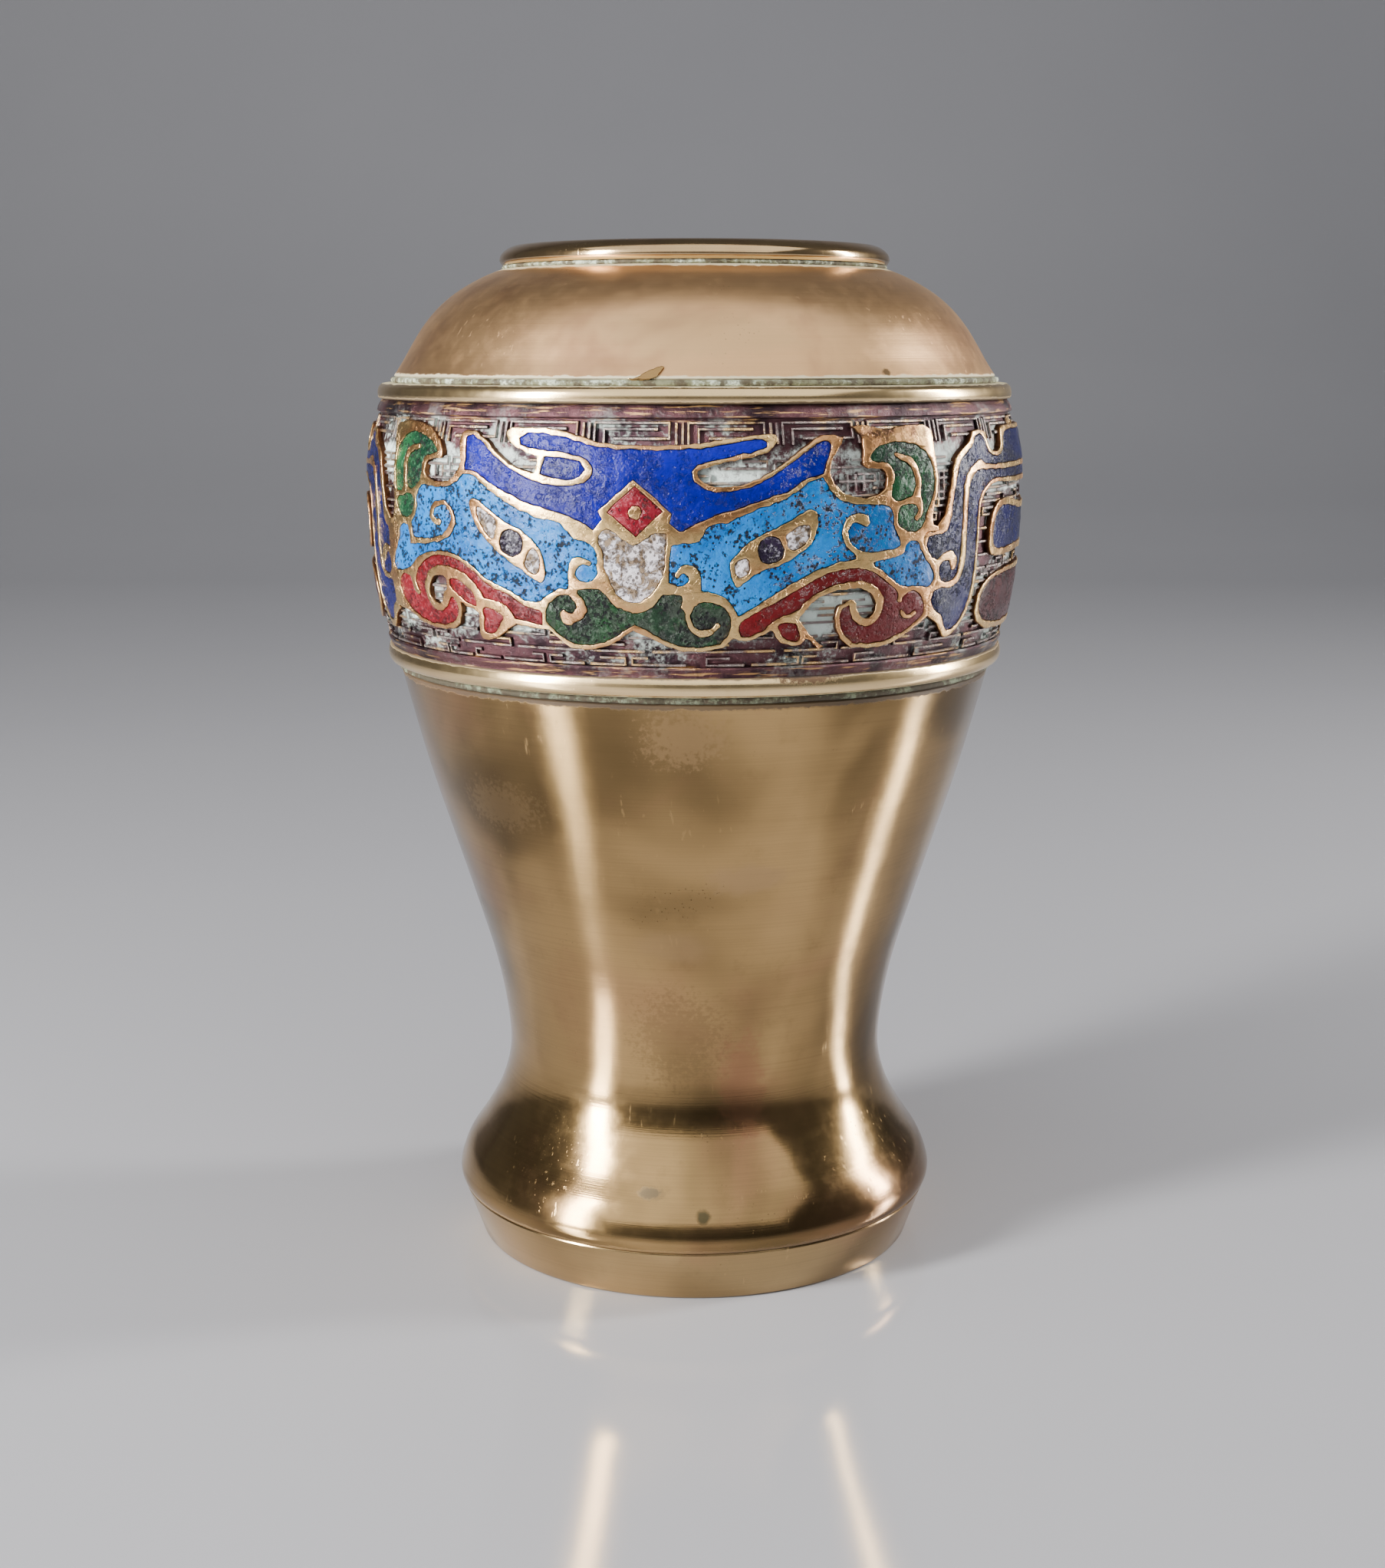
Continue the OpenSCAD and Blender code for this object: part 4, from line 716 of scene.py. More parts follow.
def both_sides(sides, name, bm, material, slot, node, sharp=50):
    """The same relief on two sides of the vase, half a turn apart."""
    mesh = bpy.data.meshes.new(name)
    bm.to_mesh(mesh)
    bm.free()
    mesh.materials.append(material)
    twin = mesh.copy()
    twin.transform(HALF_TURN)
    for side, m in zip(sides, (mesh, twin)):
        m.name = f"{side}_{name}"
        put_out(m.name, m, slot, f"{side}_{node}", sharp=sharp)


def trail(paths, thickness):
    """Flat ridges along paths, closed at their ends. The thickness is a ridge's half width."""
    drawing = bpy.data.curves.new("ridges", "CURVE")
    drawing.dimensions = "3D"
    drawing.bevel_depth = thickness * MM
    drawing.bevel_resolution = 1
    drawing.use_fill_caps = True
    for path in paths:
        points = [q for pair in zip(path, path[1:]) for q in stepped(*pair)] + [path[-1]]
        line = drawing.splines.new("POLY")
        line.points.add(len(points) - 1)
        for p, (s, z) in zip(line.points, unroll(points)):
            p.co = (s * MM, z * MM, 0, 1)
    return taken_as_mesh(drawing, 0)


def stepped(p0, p1):
    """Points from p0 towards p1, no more than 2.5 degrees apart."""
    n = max(1, math.ceil(abs(p1[0] - p0[0]) / 2.5))
    return [(p0[0] + (p1[0] - p0[0]) * k / n, p0[1] + (p1[1] - p0[1]) * k / n) for k in range(n)]


# ---- Node trees ----
def paint(red, green, blue):
    """A colour given from 0 to 255 as a linear colour."""
    def linear(c):
        c /= 255
        return c / 12.92 if c <= 0.04045 else ((c + 0.055) / 1.055) ** 2.4
    return (linear(red), linear(green), linear(blue), 1)


class Bench:
    """Adds linked nodes to one node tree. A value may be a number, a colour or a socket."""

    def __init__(self, tree):
        self.tree = tree

    def feed(self, socket, value):
        if isinstance(value, bpy.types.NodeSocket):
            self.tree.links.new(value, socket)
        else:
            socket.default_value = value

    def add(self, kind, **settings):
        made = self.tree.nodes.new(kind)
        for key, value in settings.items():
            setattr(made, key, value)
        return made

    def place(self):
        """Where a point of the surface is, in metres."""
        return self.add("ShaderNodeTexCoord").outputs["Object"]

    def attribute(self, name):
        """A number kept at each point of the mesh."""
        return self.add("ShaderNodeAttribute", attribute_name=name).outputs["Fac"]

    def stretch(self, vector, scale):
        """A vector with each axis scaled, for patterns that run one way."""
        made = self.add("ShaderNodeMapping")
        self.feed(made.inputs["Vector"], vector)
        made.inputs["Scale"].default_value = scale
        return made.outputs["Vector"]

    def noise(self, vector, scale, detail=3.0, roughness=0.55, warp=0.0):
        made = self.add("ShaderNodeTexNoise")
        self.feed(made.inputs["Vector"], vector)
        self.feed(made.inputs["Scale"], scale)
        made.inputs["Detail"].default_value = detail
        made.inputs["Roughness"].default_value = roughness
        made.inputs["Distortion"].default_value = warp
        return made.outputs["Fac"]

    def frayed(self, vector, scale, amount):
        """Noise both sides of nought, that frays the edge of a patch."""
        return self.product(self.maths("SUBTRACT", self.noise(vector, scale, 5, 0.7), 0.5), amount)

    def dots(self, vector, scale):
        """Distance from the nearest of many scattered points."""
        made = self.add("ShaderNodeTexVoronoi")
        self.feed(made.inputs["Vector"], vector)
        self.feed(made.inputs["Scale"], scale)
        return made.outputs["Distance"]

    def ramp(self, value, low, high, start=0.0, end=1.0):
        """start below low, end above high, and smooth between."""
        made = self.add("ShaderNodeMapRange", interpolation_type="SMOOTHSTEP")
        self.feed(made.inputs["Value"], value)
        self.feed(made.inputs["From Min"], low)
        self.feed(made.inputs["From Max"], high)
        self.feed(made.inputs["To Min"], start)
        self.feed(made.inputs["To Max"], end)
        return made.outputs["Result"]

    def maths(self, operation, a, b=0.0):
        made = self.add("ShaderNodeMath", operation=operation)
        self.feed(made.inputs[0], a)
        self.feed(made.inputs[1], b)
        return made.outputs[0]

    def product(self, *values):
        made = values[0]
        for value in values[1:]:
            made = self.maths("MULTIPLY", made, value)
        return made

    def total(self, *values):
        made = values[0]
        for value in values[1:]:
            made = self.maths("ADD", made, value)
        return made

    def vary(self, factor, a, b):
        """A number between two numbers."""
        made = self.add("ShaderNodeMix", data_type="FLOAT")
        self.feed(made.inputs[0], factor)
        self.feed(made.inputs[2], a)
        self.feed(made.inputs[3], b)
        return made.outputs[0]

    def mix(self, factor, a, b):
        """A colour between two colours."""
        made = self.add("ShaderNodeMix", data_type="RGBA")
        self.feed(made.inputs[0], factor)
        self.feed(made.inputs[6], a)
        self.feed(made.inputs[7], b)
        return made.outputs[2]

    def use(self, group, **values):
        """A group node. A value's name has _ where the socket's has a space."""
        made = self.add("ShaderNodeGroup", node_tree=group)
        for key, value in values.items():
            self.feed(made.inputs[key.replace("_", " ")], value)
        return made.outputs


SOCKETS = {"colour": "NodeSocketColor", "value": "NodeSocketFloat", "vector": "NodeSocketVector"}


def group(name, inputs, outputs, fill):
    """A shader node group; fill is given its bench and input sockets and returns the outputs."""
    tree = bpy.data.node_groups.new(name, "ShaderNodeTree")
    for socket, kind in inputs.items():
        tree.interface.new_socket(name=socket, in_out="INPUT", socket_type=SOCKETS[kind])
    for socket, kind in outputs.items():
        tree.interface.new_socket(name=socket, in_out="OUTPUT", socket_type=SOCKETS[kind])
    bench = Bench(tree)
    given = bench.add("NodeGroupInput").outputs
    result = bench.add("NodeGroupOutput").inputs
    for socket, value in zip(outputs, fill(bench, given)):
        bench.feed(result[socket], value)
    return tree


# ---- Effects that several finishes share ----
def fill_turned_brass(b, given):
    """Aged spun brass: clouds of olive and pink tarnish, lathe lines, scratches and pits."""
    at = b.place()
    clouds = b.ramp(b.noise(at, 26, 3, 0.5, 0.4), 0.36, 0.66)
    blush = b.ramp(b.noise(at, 45, 4, 0.55, 0.4), 0.48, 0.72)
    stain = b.ramp(b.noise(at, 190, 6, 0.72), 0.52, 0.78)
    lathe = b.noise(b.stretch(at, (25, 25, 5200)), 1, 2, 0.7)
    scrape = b.noise(b.stretch(at, (1500, 1500, 45)), 1, 2, 0.5)
    scratch = b.product(b.ramp(scrape, 0.66, 0.72), b.ramp(b.noise(at, 60, 2), 0.5, 0.6))
    grit = b.dots(at, 1500)
    pits = b.product(b.ramp(grit, 0.08, 0.2, 1, 0), b.ramp(b.noise(at, 70, 3), 0.56, 0.7))
    tarnish = b.product(clouds, given["Tarnish"])
    colour = b.mix(tarnish, given["Bright"], given["Olive"])
    colour = b.mix(b.product(blush, given["Blush"]), colour, given["Pink"])
    colour = b.mix(b.product(stain, 0.22), colour, given["Olive"])
    colour = b.mix(b.product(b.ramp(lathe, 0.35, 0.75), 0.14), colour, given["Olive"])
    colour = b.mix(b.product(scratch, 0.3), colour, given["Bright"])
    colour = b.mix(b.product(pits, 0.6), colour, paint(45, 35, 25))
    rough = b.total(given["Dull"], b.product(clouds, 0.03), b.product(stain, 0.05),
                    b.product(pits, 0.2), b.product(scratch, 0.1),
                    b.product(b.ramp(b.noise(at, 420, 4), 0.4, 0.7), 0.03))
    height = b.total(b.product(lathe, 0.22), b.product(b.noise(at, 240, 4), 0.5),
                     b.product(pits, -0.2), b.product(scratch, -0.15))
    return colour, rough, height


TURNED_BRASS = group(
    "turned_brass",
    {"Bright": "colour", "Olive": "colour", "Pink": "colour", "Tarnish": "value",
     "Blush": "value", "Dull": "value"},
    {"Colour": "colour", "Roughness": "value", "Height": "value"},
    fill_turned_brass,
)


def fill_near_height(b, given):
    """A ragged belt round the vase at one height."""
    at = b.place()
    axes = b.add("ShaderNodeSeparateXYZ")
    b.feed(axes.inputs[0], at)
    off = b.maths("ABSOLUTE", b.maths("SUBTRACT", axes.outputs["Z"], given["Height"]))
    share = b.maths("DIVIDE", off, given["Reach"])
    return [b.ramp(b.total(share, b.frayed(at, 420, given["Ragged"])), 0.6, 1.0, 1, 0)]


NEAR_HEIGHT = group(
    "near_height", {"Height": "value", "Reach": "value", "Ragged": "value"}, {"Mask": "value"},
    fill_near_height,
)


def fill_spot(b, given):
    """A ragged patch round one place."""
    at = b.place()
    off = b.add("ShaderNodeVectorMath", operation="SUBTRACT")
    b.feed(off.inputs[0], at)
    b.feed(off.inputs[1], given["Centre"])
    share = b.add("ShaderNodeVectorMath", operation="DIVIDE")
    b.feed(share.inputs[0], off.outputs[0])
    b.feed(share.inputs[1], given["Reach"])
    far = b.add("ShaderNodeVectorMath", operation="LENGTH")
    b.feed(far.inputs[0], share.outputs[0])
    frayed = b.frayed(at, given["Grain"], given["Ragged"])
    return [b.ramp(b.total(far.outputs["Value"], frayed), 0.5, 1.1, 1, 0)]


SPOT = group(
    "spot",
    {"Centre": "vector", "Reach": "vector", "Grain": "value", "Ragged": "value"},
    {"Mask": "value"},
    fill_spot,
)


def fill_enamel(b, given):
    """Glassy paste with clouds, pale grains, brown stains, and pits where bubbles burst."""
    at = b.place()
    clouds = b.ramp(b.noise(at, 150, 4, 0.6), 0.35, 0.7)
    grain = b.ramp(b.noise(at, 1500, 3, 0.7), 0.5, 0.68)
    where = b.ramp(b.noise(at, 240, 3, 0.6), 0.34, 0.56)
    round_pits = b.ramp(b.dots(at, 1300), b.vary(where, 0.04, 0.2), b.vary(where, 0.1, 0.34), 1, 0)
    torn = b.noise(at, 1250, 5, 0.75, 0.3)
    edge = b.vary(where, 0.64, 0.52)
    cracks = b.ramp(torn, edge, b.total(edge, 0.05))
    pits = b.product(b.maths("MAXIMUM", round_pits, cracks), given["Pits"])
    stain = b.product(b.ramp(b.noise(at, 620, 6, 0.72, 0.5), 0.46, 0.58), given["Stains"])
    colour = b.mix(clouds, given["Main"], given["Deep"])
    colour = b.mix(b.product(grain, given["Grain"]), colour, given["Pale"])
    colour = b.mix(stain, colour, given["Stain"])
    colour = b.mix(pits, colour, given["Pit"])
    rough = b.total(0.14, b.product(grain, 0.06), b.product(pits, 0.5), b.product(stain, 0.3),
                    b.product(b.ramp(b.noise(at, 500, 4), 0.4, 0.7), 0.1))
    height = b.total(b.product(pits, -0.9), b.product(b.noise(at, 360, 6, 0.7), 1.5),
                     b.product(stain, -0.6))
    return colour, rough, height


ENAMEL = group(
    "enamel",
    {"Main": "colour", "Deep": "colour", "Pale": "colour", "Pit": "colour", "Stain": "colour",
     "Grain": "value", "Pits": "value", "Stains": "value"},
    {"Colour": "colour", "Roughness": "value", "Height": "value"},
    fill_enamel,
)


def fill_crust(b, given):
    """Powdery residue: a broken mask that thickens in patches."""
    at = b.place()
    patch = b.noise(at, 150, 4, 0.6)
    crumb = b.noise(at, 1300, 6, 0.75)
    level = b.total(b.product(patch, 0.55), b.product(crumb, 0.45))
    edge = b.maths("SUBTRACT", 1.0, given["Amount"])
    return b.ramp(level, b.vary(edge, 0.3, 0.62), b.vary(edge, 0.42, 0.74)), crumb


CRUST = group(
    "crust", {"Amount": "value"}, {"Mask": "value", "Crumb": "value"}, fill_crust,
)


# ---- Finishes ----
def finish(name, **fixed):
    """A material, its bench and its shader, with values that are the same all over."""
    made = bpy.data.materials.new(name)
    made.use_nodes = True
    shader = made.node_tree.nodes["Principled BSDF"]
    for socket, value in fixed.items():
        shader.inputs[socket.replace("_", " ")].default_value = value
    return made, Bench(made.node_tree), shader


def dress(b, shader, colour, rough, height, depth, strength=0.6, metal=None):
    """Feeds the shader. Depth is the bump's real height in millimetres."""
    b.feed(shader.inputs["Base Color"], colour)
    b.feed(shader.inputs["Roughness"], rough)
    if metal is not None:
        b.feed(shader.inputs["Metallic"], metal)
    bump = b.add("ShaderNodeBump")
    bump.inputs["Strength"].default_value = strength
    bump.inputs["Distance"].default_value = depth * MM
    b.feed(bump.inputs["Height"], height)
    b.feed(shader.inputs["Normal"], bump.outputs["Normal"])


def on_wall(degrees, z, radius):
    """Where a spot is centred, in metres."""
    return tuple(on_side(math.radians(degrees), z, radius))


def add_spots(b, colour, rough, spots):
    """Paints patches: (place, reach, grain, raggedness, colour, strength, roughness)."""
    for place, reach, grain, ragged, tint, strength, dull in spots:
        mask = b.use(SPOT, Centre=place, Reach=tuple(r * MM for r in reach), Grain=grain,
                     Ragged=ragged)["Mask"]
        mask = b.product(mask, strength)
        colour = b.mix(mask, colour, tint)
        rough = b.vary(mask, rough, dull)
    return colour, rough


def belt(b, height, reach, ragged):
    """The mask of a ragged belt round the vase."""
    return b.use(NEAR_HEIGHT, Height=height * MM, Reach=reach * MM, Ragged=ragged)["Mask"]


BRIGHT = paint(188, 154, 104)
OLIVE = paint(84, 68, 44)
PINK = paint(166, 122, 92)
VERDIGRIS = paint(186, 198, 176)
# Dark colour of narrow belts: on the body's top edge it is a painted shadow under the lower seam
# and bead; on the beads it darkens the edge that meets the band
DARK_EDGE = paint(48, 38, 32)
CHIPPED = paint(186, 180, 160)


def turned_brass(name, spots=(), belts=(), tarnish=0.5, blush=0.4, bright=BRIGHT, olive=OLIVE,
                 dull=0.13):
    """Spun brass with patches, and with belts of the same kind, placed by their height."""
    made, b, shader = finish(name, Metallic=1.0)
    look = b.use(TURNED_BRASS, Bright=bright, Olive=olive, Pink=PINK, Tarnish=tarnish,
                 Blush=blush, Dull=dull)
    colour, rough = add_spots(b, look["Colour"], look["Roughness"], spots)
    metal = 1.0
    for height, reach, ragged, tint, strength, dull in belts:
        mask = b.product(belt(b, height, reach, ragged), strength)
        colour = b.mix(mask, colour, tint)
        rough = b.vary(mask, rough, dull)
        metal = b.maths("MULTIPLY", b.maths("SUBTRACT", 1.0, b.product(mask, 0.8)), metal)
    dress(b, shader, colour, rough, look["Height"], 0.05, metal=metal if belts else None)
    return made


def body_brass():
    """The body: pale and dark patches, a faint pinkish-brown painted reflection low at the front,
    dark spots low on the flare that are painted reflections, and a painted shadow under the seam.
    """
    spots = [
        (on_wall(-2, 84, 43), (6, 6, 4.5), 1300, 3.2, paint(170, 138, 98), 0.5, 0.32),
        (on_wall(-44, 72, 40), (8, 8, 4), 1600, 3.4, paint(164, 136, 96), 0.3, 0.22),
        (on_wall(12, 63, 37), (7, 4, 2.6), 300, 1.6, paint(176, 144, 106), 0.5, 0.28),
        (on_wall(-5, 52.5, 33.5), (6.5, 4, 3), 250, 0.8, paint(166, 136, 98), 0.45, 0.28),
        (on_wall(-5, 38, 30), (7, 5, 8), 1500, 3.6, paint(108, 90, 62), 0.3, 0.3),
        # Painted reflection: a faint pinkish-brown patch low at the front
        (on_wall(14, 30, 29), (4, 4, 9), 700, 1.8, paint(150, 96, 76), 0.35, 0.3),
        # Painted reflections: two dark spots low on the flare, near the front
        (on_wall(-11, 16.2, 34), (2.2, 2, 1.1), 900, 1.2, paint(76, 70, 58), 0.85, 0.5),
        (on_wall(2, 13.4, 35.6), (1.2, 1.4, 1.2), 900, 0.7, paint(70, 66, 48), 0.9, 0.5),
    ]
    belts = [
        # Painted shadow: a dark belt along the body's top edge, under the lower seam and bead
        (88.8, 0.9, 1.6, DARK_EDGE, 0.8, 0.6),
        (8.0, 0.7, 1.6, paint(110, 84, 50), 0.6, 0.5),
    ]
    return turned_brass("body_brass", spots, belts, tarnish=0.85)


def dome_brass():
    """The shoulder: rosy and duller than the body, with one dark dot."""
    spots = [
        (on_wall(35.5, 132.2, 43.7), (0.9, 0.9, 0.7), 900, 0.9, paint(60, 48, 30), 0.9, 0.5),
        (on_wall(0, 137, 39), (16, 10, 3.5), 260, 1.4, paint(200, 168, 122), 0.4, 0.42),
    ]
    belts = [
        (131.4, 0.5, 2.0, VERDIGRIS, 0.6, 0.8),
        (146.7, 0.5, 1.8, VERDIGRIS, 0.6, 0.8),
    ]
    return turned_brass("dome_brass", spots, belts, tarnish=0.4, blush=0.8, dull=0.31,
                        bright=paint(236, 192, 142), olive=paint(190, 146, 96))


def bead_brass(name, low, high, spots=()):
    """A polished bead, darkened along the edge where it meets the band, with verdigris along the
    other.
    """
    belts = [
        (low, 0.45, 1.6, DARK_EDGE, 0.85, 0.7),
        (high, 0.3, 1.8, VERDIGRIS, 0.5, 0.8),
    ]
    return turned_brass(name, spots, belts, tarnish=0.25, blush=0.3, dull=0.17,
                        bright=paint(250, 220, 164), olive=paint(190, 154, 106))


def inside_brass():
    """Dull, never polished brass inside the vase."""
    made, b, shader = finish("inside_brass", Metallic=0.7)
    look = b.use(TURNED_BRASS, Bright=paint(120, 96, 62), Olive=paint(70, 58, 40), Pink=PINK,
                 Tarnish=1.0, Blush=0.2, Dull=0.5)
    crust = b.use(CRUST, Amount=0.35)
    colour = b.mix(b.product(crust["Mask"], 0.4), look["Colour"], paint(96, 104, 84))
    dress(b, shader, colour, look["Roughness"], look["Height"], 0.12)
    return made


def verdigris_crust(name, pale, dull):
    """Green salts that fill the solder seams."""
    made, b, shader = finish(name)
    at = b.place()
    look = b.use(CRUST, Amount=0.45)
    colour = b.mix(look["Mask"], dull, pale)
    dark = b.ramp(b.noise(at, 500, 5, 0.7), 0.46, 0.58)
    colour = b.mix(b.product(dark, 0.85), colour, paint(62, 50, 34))
    rough = b.ramp(look["Crumb"], 0.2, 0.8, 0.7, 0.95)
    dress(b, shader, colour, rough, look["Crumb"], 0.25, 0.9)
    return made


def wall_brass():
    """Cast cell walls: polished gold tops, coppery flanks and dark shrinkage cracks."""
    made, b, shader = finish("wall_brass", Metallic=1.0)
    at = b.place()
    rise = b.attribute("rise")
    top = b.ramp(rise, 0.66, 0.84)
    warm = b.ramp(b.noise(at, 95, 4, 0.6), 0.4, 0.62)
    colour = b.mix(warm, paint(226, 190, 128), paint(204, 150, 100))
    stain = b.ramp(b.noise(at, 800, 5, 0.7), 0.5, 0.68)
    colour = b.mix(b.product(stain, 0.45), colour, paint(140, 92, 58))
    line = b.maths("ABSOLUTE", b.maths("SUBTRACT", b.noise(at, 560, 3, 0.6, 0.8), 0.5))
    crack = b.product(b.ramp(line, 0.004, 0.02, 1, 0), b.ramp(b.noise(at, 260, 3), 0.48, 0.6))
    colour = b.mix(b.product(crack, 0.7), colour, paint(84, 56, 36))
    colour = b.mix(top, paint(92, 58, 38), colour)
    soot = b.use(SPOT, Centre=on_wall(33, 124.6, 47.6), Reach=(7 * MM, 6 * MM, 1.3 * MM),
                 Grain=700, Ragged=3.0)["Mask"]
    soot = b.product(soot, b.ramp(b.noise(at, 420, 5, 0.7), 0.46, 0.56))
    colour = b.mix(b.product(soot, 0.8), colour, paint(84, 58, 50))
    rough = b.total(0.26, b.product(stain, 0.2), b.product(crack, 0.2), b.ramp(top, 0, 1, 0.2, 0))
    height = b.total(b.product(b.noise(at, 650, 5, 0.7), 0.8), b.product(crack, -0.8))
    dress(b, shader, colour, rough, height, 0.09)
    return made


def two_belts(b, first, second):
    """The mask of two belts, each given by its height, reach and raggedness."""
    return b.maths("MAXIMUM", belt(b, *first), belt(b, *second))


def ground_brass():
    """The band's cast ground: glossy brown and purple tarnish, mint residue in the low places,
    crests painted pale grey as painted glare, and gold where the tarnish has come off."""
    made, b, shader = finish("ground_brass")
    at = b.place()
    rise = b.attribute("rise")
    crest = b.ramp(rise, 0.2, 0.46)
    clouds = b.ramp(b.noise(at, 180, 4, 0.6), 0.4, 0.62)
    colour = b.mix(clouds, paint(84, 54, 58), paint(42, 28, 34))
    crust = b.use(CRUST, Amount=0.38)
    borders = two_belts(b, (92.8, 1.9, 1.2), (127.6, 1.8, 1.0))
    low = b.maths("SUBTRACT", 1.0, crest)
    residue = b.product(crust["Mask"], b.vary(low, 0.15, 0.85), b.vary(borders, 1.0, 0.2))
    pockets = two_belts(b, (119, 4, 1.4), (100.8, 3.6, 1.4))
    heavy = b.product(b.use(CRUST, Amount=0.62)["Mask"], pockets, b.vary(low, 0.3, 1.0))
    residue = b.maths("MAXIMUM", residue, heavy)
    # Crest colour: pale grey is painted glare, gold is where the tarnish has come off; this noise
    # picks between them
    worn = b.noise(at, 230, 4, 0.65)
    crest_glare_and_gold = b.mix(b.ramp(worn, 0.48, 0.6), paint(140, 128, 124), paint(206, 168, 112))
    crest_glare_and_gold = b.mix(b.product(pockets, 0.75), crest_glare_and_gold, paint(84, 70, 70))
    glare_and_rubbed = b.product(crest, b.ramp(b.noise(at, 340, 5, 0.7), 0.36, 0.5))
    streak = b.noise(b.stretch(at, (160, 160, 2600)), 1, 3, 0.6)
    polished = b.product(borders, b.ramp(streak, 0.56, 0.64))
    colour = b.mix(residue, colour, b.mix(pockets, paint(176, 188, 180), paint(206, 218, 212)))
    # Lays the painted glare and the gold on the crests
    colour = b.mix(glare_and_rubbed, colour, crest_glare_and_gold)
    colour = b.mix(b.product(polished, 0.7), colour, paint(200, 156, 100))
    metal = b.product(b.maths("SUBTRACT", 1.0, residue), 0.85)
    rough = b.total(0.3, b.product(residue, 0.4), b.product(glare_and_rubbed, -0.05))
    height = b.total(crust["Crumb"], b.product(b.noise(at, 480, 4), 0.8))
    dress(b, shader, colour, rough, height, 0.2, 0.9, metal)
    return made


def enamel(name, main, deep, pale, grain, pits, pit=(8, 8, 12), chips_and_shade=(), stains=0.0,
           stain=(120, 100, 74)):
    """An enamel from its main, deep and pale colours, and how grainy, pitted and stained it is."""
    made, b, shader = finish(name, IOR=1.31)
    look = b.use(ENAMEL, Main=paint(*main), Deep=paint(*deep), Pale=paint(*pale),
                 Pit=paint(*pit), Stain=paint(*stain), Grain=grain, Pits=pits, Stains=stains)
    # The chips are pale chipped places; for the red whiskers the list also holds a patch of
    # painted shade
    colour, rough = add_spots(b, look["Colour"], look["Roughness"], chips_and_shade)
    dress(b, shader, colour, rough, look["Height"], 0.26, 0.9)
    return made


def chip(degrees, z, wide, high):
    """A pale chipped place, for add_spots."""
    return (on_wall(degrees, z, BAND_R), (wide, wide, high), 1100, 1.2, CHIPPED, 0.85, 0.7)


# ---- Turned metal ----
def make_body(brass, inside):
    """The hollow body, from the foot ring to the lower bead."""
    outer, inner = wall(BODY, FOOT_TOP + 0.1, BODY_TOP - 0.2)
    section = [(36.1, FOOT_TOP), *outer, (43.8, BODY_TOP), (BORE_R, BODY_TOP), *inner,
               (34.9, FOOT_TOP)]
    piece("vase_body", turned(section), [brass, inside], "brass_turned", "lower_body")


def make_shoulder(brass, inside):
    """The hollow dome, from the upper seam to the seam under the lip."""
    outer, inner = wall(DOME, BAND_TOP + 0.1, HEIGHT)
    section = [(44, BAND_TOP), *outer, (COLLAR_R, DOME_TOP), *inner, (BORE_R, BAND_TOP)]
    piece("vase_shoulder", turned(section), [brass, inside], "brass_turned", "shoulder_dome")


def make_foot(brass, inside):
    piece("vase_foot", turned(FOOT), [brass, inside], "brass_turned", "foot_ring")


def make_lip(brass, inside):
    """The lip ring, with a collar that goes down into the shoulder."""
    section = [*smooth_run(LIP), (MOUTH_R, 148.4), (MOUTH_R, 144.6), (COLLAR_R, 144.6),
               (COLLAR_R, LIP_FOOT), (28, LIP_FOOT)]
    piece("vase_lip", turned(section), [brass, inside], "brass_turned", "lip_ring")


def make_base(inside):
    piece("vase_base", turned(BASE, 96), [inside], "brass_cast", "base_disc")


def make_bead(name, profile, inner_r, brass, node):
    """A bead ring round a sleeve of the band."""
    run = smooth_run(profile, 4)
    section = [(inner_r, run[0][1]), *run, (inner_r, run[-1][1])]
    bm = turned(section)
    dent(bm, 0.05, 14, 3)
    piece(name, bm, [brass], "brass_turned", node)


def make_seam(name, inner_r, outer_r, low, high, crust, node):
    """A solder seam: a crumbling line of salts."""
    mid = (low + high) / 2
    section = [
        (inner_r, low), (outer_r - 0.35, low), (outer_r - 0.08, low + 0.12), (outer_r, mid),
        (outer_r - 0.1, high - 0.1), (outer_r - 0.4, high), (inner_r, high),
    ]
    bm = turned(section, 720)
    for pitch, amount in ((3.0, 0.35), (0.9, 0.25)):
        eat_into(bm, amount, pitch, outer_r - 0.6)
    piece(name, bm, [crust], "verdigris", node, sharp=60)


def eat_into(bm, amount, pitch, beyond):
    """Takes uneven bites out of a seam, beyond a radius."""
    for v in bm.verts:
        out = Vector((v.co.x, v.co.y, 0))
        if out.length > beyond * MM:
            bite = max(0.0, noise.noise(v.co / (pitch * MM)))
            v.co -= out.normalized() * bite * amount * MM


# ---- The cast band ----
def make_band(brass, inside):
    """The cast ring: a sleeve behind each bead, and between them the sunken ground."""
    ground = [(r + GROUND, z) for r, z in smooth_run(BARREL) if 94.3 < z < 126.2]
    back = [(barrel_radius(z) - BAND_THICK, z) for z in (126.6, 124, 119.5, 113, 104, 98, 94.2)]
    section = [
        (42.7, BODY_TOP), (LOW_SLEEVE_R, BODY_TOP), (LOW_SLEEVE_R, BARREL_LOW),
        *LOW_BORDER, *ground, *HIGH_BORDER,
        (HIGH_SLEEVE_R, BARREL_HIGH), (HIGH_SLEEVE_R, BAND_TOP), (BORE_R, BAND_TOP),
        (BORE_R, 127.2), *back, (42.7, 93.5),
    ]
    bm = turned(section, 360)
    rise = bm.verts.layers.float.new("rise")
    for v in bm.verts:
        v[rise] = 0.0
    dent(bm, 0.1, 2.2, 11)
    piece("band_ground", bm, [brass, inside], "brass_cast", "champleve_band")


